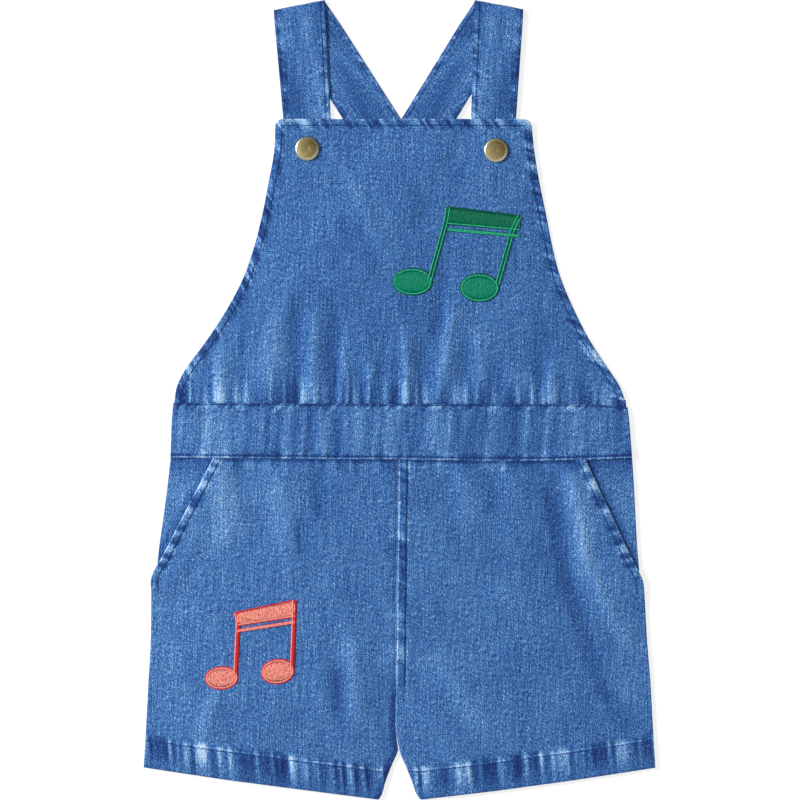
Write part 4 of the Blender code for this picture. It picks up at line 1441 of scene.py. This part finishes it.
@dataclass
class BackPanel(Panel):
    """A back panel, flat on the floor: a leg or the back waistband."""

    side: str = "left"
    is_band: bool = False
    inset: float = 0.7
    spacing: float = 4.0
    cloth: float = 1.1

    def _outer(self, side: str, up: Array) -> Array:
        """The side seam, just inside the front's."""
        table = BAND_SECTIONS.smooth(side, up) if self.is_band else LAY.outline(side, up)
        return table + (self.inset if side == "left" else -self.inset)

    def _inner(self, side: str, up: Array) -> Array:
        """The centre seam and the inseam."""
        inset = self.inset * soft((CROTCH_UP - up) / 20.0) - seam_closing(up)
        return INSEAM_SECTIONS.smooth(side, up) + (-inset if side == "left" else inset)

    def left(self, up: Array) -> Array:
        """The left edge."""
        if self.is_band or self.side == "left":
            return self._outer("left", up)
        return self._inner("right", up)

    def right(self, up: Array) -> Array:
        """The right edge."""
        if self.is_band or self.side == "right":
            return self._outer("right", up)
        return self._inner("left", up)

    def level(self, step: Array, across: Array) -> Array:
        """Rows between the seams, or down to the hem."""
        seam = WAIST_SEAMS.smooth("lower", across)
        if self.is_band:
            return (seam + 0.02) * step
        foot = LEG_HEM_LINE.straight("up", across) + self.inset
        return seam + (foot - seam) * step

    def line(self, spots: Spots) -> Array:
        """The distance from the hem's stitches."""
        away = FAR if self.is_band else 0.0
        return abs(spots.from_foot - LEG_HEM) + away

    def underside(self, spots: Spots) -> Array:
        """Flat on the floor."""
        return np.zeros(spots.across.shape)

    def surface(self, spots: Spots) -> tuple[Array, Array]:
        """A flat ply."""
        under = self.underside(spots)
        return under + self.cloth, under


@dataclass
class Strap:
    """A strap: one two-ply band from the back waistband over the shoulder to the bib.

    Args:
        plan: Where it runs.
        plies: Its thickness.
        columns: How many steps it has across.
        spacing: How far apart its rows stand.
        radius: The radius of its fold at the shoulder.
        stitch_in: How far inside its two edges the stitches run.
    """

    plan: StrapPlan
    plies: float = 1.4
    columns: int = 26
    spacing: float = 2.2
    radius: float = 1.15
    stitch_in: tuple[float, float] = (1.6, 3.2)
    crumple: Wander = Wander(11, 9.0, 16.0)

    def rows(self) -> Array:
        """The middle surface's two edges, by row: outer and inner point of each."""
        half = 0.5 * self.plies
        rows = []
        for up in np.linspace(LAY.STRAP_END_UP, 252.0, int(100.0 / self.spacing)):
            height = float(LAY.FRONT_RUN.straight("underside", up)) + half
            first, second = LAY.strap_span(self.plan, up, True)
            rows.append(((first, up, height), (second, up, height)))
        outer, inner = self.plan.fold
        length = math.hypot(inner[0] - outer[0], inner[1] - outer[1])
        inward = np.array([inner[1] - outer[1], outer[0] - inner[0]]) / length
        inward = -inward if inward[1] > 0.0 else inward
        for angle in np.linspace(0.5 * math.pi, -0.5 * math.pi, 15):
            inset = self.radius + half - self.radius * math.cos(angle)
            height = half + self.radius * (1.0 + math.sin(angle))
            ends = [
                (x + inward[0] * inset, y + inward[1] * inset, height) for x, y in self.plan.fold
            ]
            rows.append((ends[0], ends[1]))
        for up in np.linspace(248.0, LAY.STRAP_BACK_END_UP, int(250.0 / self.spacing)):
            height = float(LAY.back_run(self.plan, up)) + half
            first, second = LAY.strap_span(self.plan, up, False)
            rows.append(((first, up, height), (second, up, height)))
        return np.array(rows)

    def build(self) -> bpy.types.Object:
        """Make the strap's shell and its stitches."""
        rows = self.rows()
        near = (0.0, 0.01, 0.03, 0.06, 0.1)
        inner = np.linspace(0.14, 0.86, self.columns - 9)
        share = np.concatenate([near, inner, 1.0 - np.array(near[::-1])])
        middle = rows[:, None, 0] + (rows[:, None, 1] - rows[:, None, 0]) * share[None, :, None]
        along_rows = np.gradient(middle, axis=0)
        along_columns = np.gradient(middle, axis=1)
        normal = np.cross(along_columns, along_rows)
        normal /= np.linalg.norm(normal, axis=2, keepdims=True)
        if normal[0, 0, 2] < 0.0:
            normal = -normal
        width = np.linalg.norm(rows[:, 1] - rows[:, 0], axis=1)[:, None]
        steps = np.linalg.norm(np.diff(middle.mean(axis=1), axis=0), axis=1)
        run = np.concatenate([[0.0], np.cumsum(steps)])[:, None] + 0.0 * share
        aside = width * share[None, :]
        edge = np.minimum(aside, width - aside)
        line = np.minimum(abs(aside - self.stitch_in[0]), abs(width - aside - self.stitch_in[1]))
        wave = self.crumple.at(aside * 1.3, run) * 0.2
        half = 0.5 * self.plies * rounded(edge, 0.35) - 0.14 * bell(line, 0.5)
        rope = 0.16 * ROPE.at(run / 2.0, edge) * plateau(edge, 3.0, 3.0)
        puffed = half + wave * soft(edge / 2.0) + rope
        top = middle + normal * puffed[:, :, None]
        under = middle - normal * half[:, :, None]
        roped = ROPE.at((run + 0.5 * edge) / 2.0, edge) * plateau(edge, 3.0, 3.5)
        broad = self.crumple.at(aside * 0.8 + 30.0, run * 0.35)
        rim = 0.12 * plateau(edge, 0.4, 0.8)
        worn = 0.07 * plateau(abs(width - aside - 1.8), 0.7, 0.6)
        # Roping and a worn band as wear, and painted light and shade that follow the strap's crumples.
        fade = 0.30 * roped + 0.12 * broad + 0.4714 * wave - rim + worn
        cut = np.stack([aside, run], axis=-1)
        step = -1 if self.plan.rises else 1
        grids = [grid[::-1, ::step] for grid in (top, under, cut, fade, line)]
        marks = {"fade": grids[3], "line": grids[4]}
        piece = shell("cloth_" + self.plan.name, *grids[:3], marks, Finish.DENIM)
        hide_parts(self.plan.name)
        self.sew(middle, normal, aside, width, run)
        return piece

    def sew(self, middle: Array, normal: Array, aside: Array, width: Array, run: Array) -> None:
        """Stitch both long edges, on the face that shows on the front run.

        Args:
            middle: The middle surface's points.
            normal: Its normals.
            aside: The points' distances from the outer edge.
            width: The strap's width in each row.
            run: The points' distances along the strap.
        """
        lines = []
        total = float(run.max())
        for inset, from_outer in ((self.stitch_in[0], True), (self.stitch_in[1], False)):
            share = (inset / width if from_outer else 1.0 - inset / width)[:, 0]
            spine = middle[:, 0] + (middle[:, -1] - middle[:, 0]) * share[:, None]
            for face in (1.0, -1.0):
                lifted = spine + normal[:, 0] * face * 0.5 * self.plies
                starts = np.arange(1.0, total - 3.0, STITCH_PITCH)
                places = starts[:, None] + np.linspace(0.0, STITCH_LENGTH, 5)[None, :]
                points = [np.interp(places, run[:, 0], lifted[:, axis]) for axis in range(3)]
                points = np.stack(points, axis=-1)
                lines.append(points[points[..., 2].min(axis=1) > 1.2 * STITCH_RADIUS])
        name = "stitches_" + self.plan.name
        strands(name, np.concatenate(lines), STITCH_RADIUS, Finish.SEWING)


@dataclass
class SnapCap:
    """A pressed brass cap on the bib: a turned profile with a bevelled rim and a faint dimple."""

    node: str
    steps: int = 96
    lit_side_direction: tuple[float, float] = (-0.75, -0.65)
    profile: tuple = (
        (0.0, 2.00), (0.7, 2.02), (1.2, 2.10), (1.8, 2.16), (3.0, 2.18), (4.6, 2.14), (5.8, 2.04),
        (6.2, 1.98), (6.6, 2.02), (7.0, 2.00), (7.4, 1.78), (7.8, 1.35), (8.05, 0.9), (8.05, 0.45),
        (7.7, 0.1), (7.2, 0.0),
    )

    def build(self) -> bpy.types.Object:
        """Make the cap on its node's place."""
        low, high = (np.array(corner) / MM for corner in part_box(self.node))
        centre = 0.5 * (low + high)
        turn = np.arange(self.steps) / self.steps * 2.0 * math.pi
        radii = np.array([radius for radius, _ in self.profile[1:]])
        heights = np.array([height for _, height in self.profile[1:]])
        x = centre[0] + radii[:, None] * np.cos(turn)
        y = centre[1] + radii[:, None] * np.sin(turn)
        z = low[2] + heights[:, None] + 0.0 * turn
        rings = np.stack([x, y, z], axis=-1)
        number = np.arange(rings.shape[0] * self.steps).reshape(-1, self.steps)
        across = np.roll(number, -1, axis=1)
        quads = np.stack([number[:-1], number[1:], across[1:], across[:-1]], axis=-1)
        tip = number.size
        fan = [[tip, int(a), int(b)] for a, b in zip(number[0], across[0])]
        faces = quads.reshape(-1, 4).tolist() + fan + [number[-1, ::-1].tolist()]
        peak = np.array([[centre[0], centre[1], low[2] + self.profile[0][1]]])
        points = np.concatenate([rings.reshape(-1, 3), peak])
        piece = add_piece("cap_" + self.node, points, faces, Finish.BRASS)
        # The painted light mark: how far each point lies towards the lit lower left.
        lean = (points[:, :2] - centre[:2]) @ np.array(self.lit_side_direction) / radii.max()
        carry_marks(piece, {"rim": np.append(np.repeat(radii, self.steps), 0.0), "lit_side_share": lean})
        piece.data.set_sharp_from_angle(angle=math.radians(60.0))
        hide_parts(self.node)
        return piece


@dataclass(frozen=True)
class Quaver:
    """One note of a pair: its stem and its head.

    Args:
        top: The stem's top, under the beam's upper edge.
        bend: Where the stem leaves the beam.
        foot: The stem's foot.
        head: The head's centre.
        size: The head's half width and half height.
        tilt: How far the head leans, in degrees.
    """

    top: tuple[float, float]
    bend: tuple[float, float]
    foot: tuple[float, float]
    head: tuple[float, float]
    size: tuple[float, float]
    tilt: float = 0.0


@dataclass
class Notes:
    """A pair of beamed quavers in satin stitch: an ordinary music sign.

    Args:
        name: The motif's name.
        host: The panel that it is sewn on.
        left: The left note.
        right: The right note.
        beam_depth: The thick beam's depth at its left and right end.
        bar_drop: How far below the beam's lower edge the thin bar runs.
        cords: Where the pale cords lie on the stems, off the middle.
        finishes: The heads', the beam's, the cords' and the outline's finish.
    """

    name: str
    host: Panel
    left: Quaver
    right: Quaver
    beam_depth: tuple[float, float]
    bar_drop: float
    cords: tuple[float, ...]
    finishes: tuple[Finish, Finish, Finish, Finish]
    pitch: float = 0.44
    thread: float = 0.26
    pad: float = 0.6
    stem_half: float = 1.65
    cord_half: float = 0.42
    outline: float = 0.75

    def _threads(
        self, starts: Array, ends: Array, bow: float | Array, base: float, points: int = 5
    ) -> Array:
        """Threads from one edge of a shape to the other, bowed over its padding."""
        share = np.linspace(0.0, 1.0, points)[None, :]
        across = starts[:, :1] + (ends[:, :1] - starts[:, :1]) * share
        up = starts[:, 1:] + (ends[:, 1:] - starts[:, 1:]) * share
        rise = base + np.reshape(bow, (-1, 1)) * (1.0 - (2.0 * share - 1.0) ** 4)
        return np.stack([across, up, self.host.top_at(across, up) + rise], axis=-1)

    def _satin(self, path: Array, half: float, bow: float, base: float, shift: float = 0.0) -> Array:
        """A narrow satin column of threads that cross a path.

        Args:
            path: The column's middle, as places in order.
            half: Half of the column's width.
            bow: How far it stands up in the middle.
            base: How far it stands up at its edges.
            shift: How far the column lies to the left of the path's run.

        Returns:
            The threads' centrelines.
        """
        steps = np.hypot(*np.diff(path, axis=0).T)
        run = np.concatenate([[0.0], np.cumsum(steps)])
        at = np.arange(0.0, run[-1], self.pitch)
        place = np.stack([np.interp(at, run, path[:, axis]) for axis in (0, 1)], axis=-1)
        slopes = np.gradient(path, run, axis=0)
        ahead = np.stack([np.interp(at, run, slopes[:, axis]) for axis in (0, 1)], axis=-1)
        ahead /= np.hypot(*ahead.T)[:, None]
        aside = np.stack([-ahead[:, 1], ahead[:, 0]], axis=-1)
        middle = place + aside * shift
        skew = ahead * 0.22
        return self._threads(middle - aside * half - skew, middle + aside * half + skew, bow, base)

    def _round(self, note: Quaver, grow: float, turn: Array) -> Array:
        """Points round a note's head, a distance outside it."""
        wide, tall = note.size[0] + grow, note.size[1] + grow
        lean = math.radians(note.tilt)
        x, y = wide * np.cos(turn), tall * np.sin(turn)
        across = note.head[0] + x * math.cos(lean) - y * math.sin(lean)
        up = note.head[1] + x * math.sin(lean) + y * math.cos(lean)
        return np.stack([across, up], axis=-1)

    def _ragged(self, count: int) -> Array:
        """Small uneven shifts, as a needle makes."""
        return np.random.default_rng(count).uniform(-0.16, 0.16, (count, 1))

    def _line(self, first: tuple, second: tuple, drop: tuple[float, float] = (0.0, 0.0)) -> Array:
        """A straight path between two places, each dropped a distance down the cloth."""
        share = np.linspace(0.0, 1.0, 12)[:, None]
        start = np.array(first) - (0.0, drop[0])
        return start + (np.array(second) - (0.0, drop[1]) - start) * share

    def _head(self, note: Quaver) -> Array:
        """The upright threads that fill a note's head."""
        count = int(2.0 * note.size[0] / self.pitch)
        x = np.linspace(-0.97, 0.97, count)
        turn = np.arccos(x)
        starts = self._round(note, -0.3, turn) + self._ragged(count)
        ends = self._round(note, -0.3, -turn) + self._ragged(count + 1)[1:]
        bow = self.pad * (0.4 + 0.6 * np.sqrt(1.0 - x ** 2))
        return self._threads(starts, ends, bow, 0.12, 9)

    def _stem(self, note: Quaver) -> Array:
        """A stem's middle, from its top to its foot, with a soft bend."""
        places = np.array([note.top, note.bend, note.foot])
        share = np.array([0.0, 0.22, 1.0])
        fine = np.linspace(0.0, 1.0, 24)
        path = np.stack([np.interp(fine, share, places[:, axis]) for axis in (0, 1)], axis=-1)
        for _ in range(2):
            path[1:-1] = 0.25 * path[:-2] + 0.5 * path[1:-1] + 0.25 * path[2:]
        return path

    def build(self) -> None:
        """Make the filling, the beam, the cords and the outline, each as one mesh of threads."""
        left, right, depth = self.left, self.right, self.beam_depth
        top, foot = self._line(left.top, right.top), self._line(left.top, right.top, depth)
        bar_drop = (depth[0] + self.bar_drop, depth[1] + self.bar_drop)
        bar = self._line(left.top, right.top, bar_drop)
        count = int(np.hypot(*(top[-1] - top[0])) / self.pitch)
        share = np.linspace(0.0, 1.0, count)[:, None]
        starts = top[0] + (top[-1] - top[0]) * share + self._ragged(count)
        ends = foot[0] + (foot[-1] - foot[0]) * share + self._ragged(count + 1)[1:]
        beam = [self._threads(starts, ends, self.pad, 0.12, 9)]
        cord = (self.cord_half, 0.35, 0.35)
        cords = [self._satin(foot, *cord)]
        cords += [self._satin(bar, *cord, shift) for shift in (0.45, -0.45)]
        # The outline threads: round the green notes a dark green that is painted shade round the raised
        # satin; round the coral notes a red that is partly thread colour, partly painted shade on the
        # stems.
        outline = [
            self._satin(top, 0.5, 0.25, 0.06, 0.35), self._satin(foot, 0.6, 0.12, 0.05, -0.5),
            self._satin(bar, 1.3, 0.2, 0.05),
        ]
        turn = np.linspace(0.0, 2.0 * math.pi, 72)
        for note in (left, right):
            cords.append(self._satin(self._round(note, 0.0, turn), *cord))
            outline.append(self._satin(self._round(note, self.outline, turn), 0.5, 0.2, 0.05))
            stem = self._stem(note)
            outline.append(self._satin(stem, self.stem_half, 0.55, 0.1))
            cords += [self._satin(stem, 0.34, 0.3, 0.62, shift) for shift in self.cords]
        heads = [self._head(left), self._head(right)]
        names = ("heads", "beam", "cords", "outline")
        for name, group, finish in zip(names, (heads, beam, cords, outline), self.finishes):
            strands(f"{self.name}_{name}", np.concatenate(group), self.thread, finish)


PHOTO_SCALE = 0.66


@dataclass(frozen=True)
class Studio:
    """The floor, the soft lights and the camera straight above.

    Args:
        view: How wide the picture is at the floor, in metres.
        distance: The camera's height.
        sensor: The camera's sensor width in millimetres.
    """

    view: float = 800.0 * PHOTO_SCALE * MM
    distance: float = 4.0
    sensor: float = 36.0

    def floor(self) -> None:
        """A plain pale floor."""
        g = Graph("floor")
        material = g.finish(
            Base_Color=(0.32, 0.32, 0.32, 1.0), Roughness=0.9, Specular_IOR_Level=0.0,
            Emission_Color=(1.0, 1.0, 1.0, 1.0), Emission_Strength=0.76,
        )
        side = 6.0
        mesh = bpy.data.meshes.new("floor")
        corners = [(-side, -side, 0.0), (side, -side, 0.0), (side, side, 0.0), (-side, side, 0.0)]
        mesh.from_pydata([(x, y, -0.0004) for x, y, _ in corners], [], [(0, 1, 2, 3)])
        mesh.materials.append(material)
        floor = bpy.data.objects.new("floor", mesh)
        bpy.context.scene.collection.objects.link(floor)

    def lamp(self, name: str, place: tuple, power: float, size: float) -> None:
        """A square soft light that points at the garment."""
        data = bpy.data.lights.new(name, "AREA")
        data.energy, data.size = power, size
        lamp = bpy.data.objects.new(name, data)
        lamp.location = place
        aim = np.array(place)
        lamp.rotation_euler = (
            math.atan2(math.hypot(aim[0], aim[1]), aim[2]), 0.0, math.atan2(aim[0], -aim[1]),
        )
        bpy.context.scene.collection.objects.link(lamp)

    def build(self) -> None:
        """Set up the floor, lights and camera."""
        self.floor()
        self.lamp("key", (-3.0, 0.9, 2.5), 188.0, 1.3)
        self.lamp("fill", (1.4, -0.8, 3.0), 6.0, 1.6)
        world = bpy.data.worlds.new("studio")
        world.use_nodes = True
        background = world.node_tree.nodes["Background"]
        background.inputs["Color"].default_value = (1.0, 1.0, 1.0, 1.0)
        background.inputs["Strength"].default_value = 0.36
        scene = bpy.context.scene
        scene.world = world
        scene.view_settings.view_transform = "Standard"
        data = bpy.data.cameras.new("camera")
        data.sensor_width = self.sensor
        data.lens = self.sensor * self.distance / self.view
        camera = bpy.data.objects.new("camera", data)
        camera.location = (0.5 * PHOTO_SCALE * MM, 0.0, self.distance)
        scene.collection.objects.link(camera)
        scene.camera = camera


def main() -> None:
    """Build every piece of the garment and the studio round it."""
    logging.basicConfig(level=logging.INFO, format="%(message)s")
    back = [
        BackPanel("leg_back_left", (0.175, 0.235), ("floor",), Finish.DENIM_BACK, side="left"),
        BackPanel("leg_back_right", (0.175, 0.235), ("floor",), Finish.DENIM_BACK, side="right"),
        BackPanel("waistband_back", (0.305, 0.045), ("floor",), Finish.DENIM_BACK, is_band=True),
    ]
    for panel in back:
        panel.build()
    for plan in STRAP_PLANS:
        Strap(plan).build()
    for side in ("left", "right"):
        back_leg = ("cloth_leg_back_" + side,)
        HipPiece("pocket_side_" + side, (0.06, 0.09), back_leg, side=side).build()
    bib = Bib("front_bib", (0.320, 0.200), ("cloth_strap_left", "cloth_strap_right"))
    bib.build()
    Waistband("waistband_front", (0.310, 0.045), ("cloth_waistband_back",)).build()
    legs = {}
    for side in ("left", "right"):
        back_leg = ("cloth_leg_back_" + side,)
        legs[side] = FrontLeg("leg_front_" + side, (0.175, 0.250), back_leg, side=side)
        legs[side].build()
    Notes(
        "green_notes", bib,
        Quaver((32.0, 127.0), (30.4, 117.0), (19.8, 79.0), (8.6, 78.0), (12.2, 7.9), -1.0),
        Quaver((79.2, 121.2), (74.8, 113.0), (64.6, 76.5), (52.8, 74.0), (11.9, 8.3), -1.0),
        beam_depth=(10.4, 8.8), bar_drop=4.2, cords=(-1.05, 1.05),
        finishes=(Finish.GREEN, Finish.GREEN_BEAM, Finish.GREEN_CORD, Finish.GREEN_DEEP),
    ).build()
    Notes(
        "coral_notes", legs["left"],
        Quaver((-107.6, -140.4), (-106.4, -147.0), (-108.0, -181.0), (-117.2, -183.3), (9.9, 6.5), 4.0),
        Quaver((-69.2, -132.4), (-69.4, -143.0), (-70.8, -177.0), (-80.2, -179.0), (10.0, 7.1), 7.0),
        # One pale cord only, on the stems' left side, as a painted highlight where the light falls; the
        # red stem columns beside it are partly painted shade.
        beam_depth=(8.0, 10.0), bar_drop=4.0, cords=(-1.05,),
        finishes=(Finish.CORAL, Finish.CORAL, Finish.PINK_CORD, Finish.RED),
    ).build()
    for side in ("left", "right"):
        SnapCap("snap_" + side).build()
        stud = frame["nodes"]["stud_" + side]
        stud.data.materials.clear()
        stud.data.materials.append(bpy.data.materials["antique_brass"])
    Studio().build()


if __name__ == "__main__":
    main()
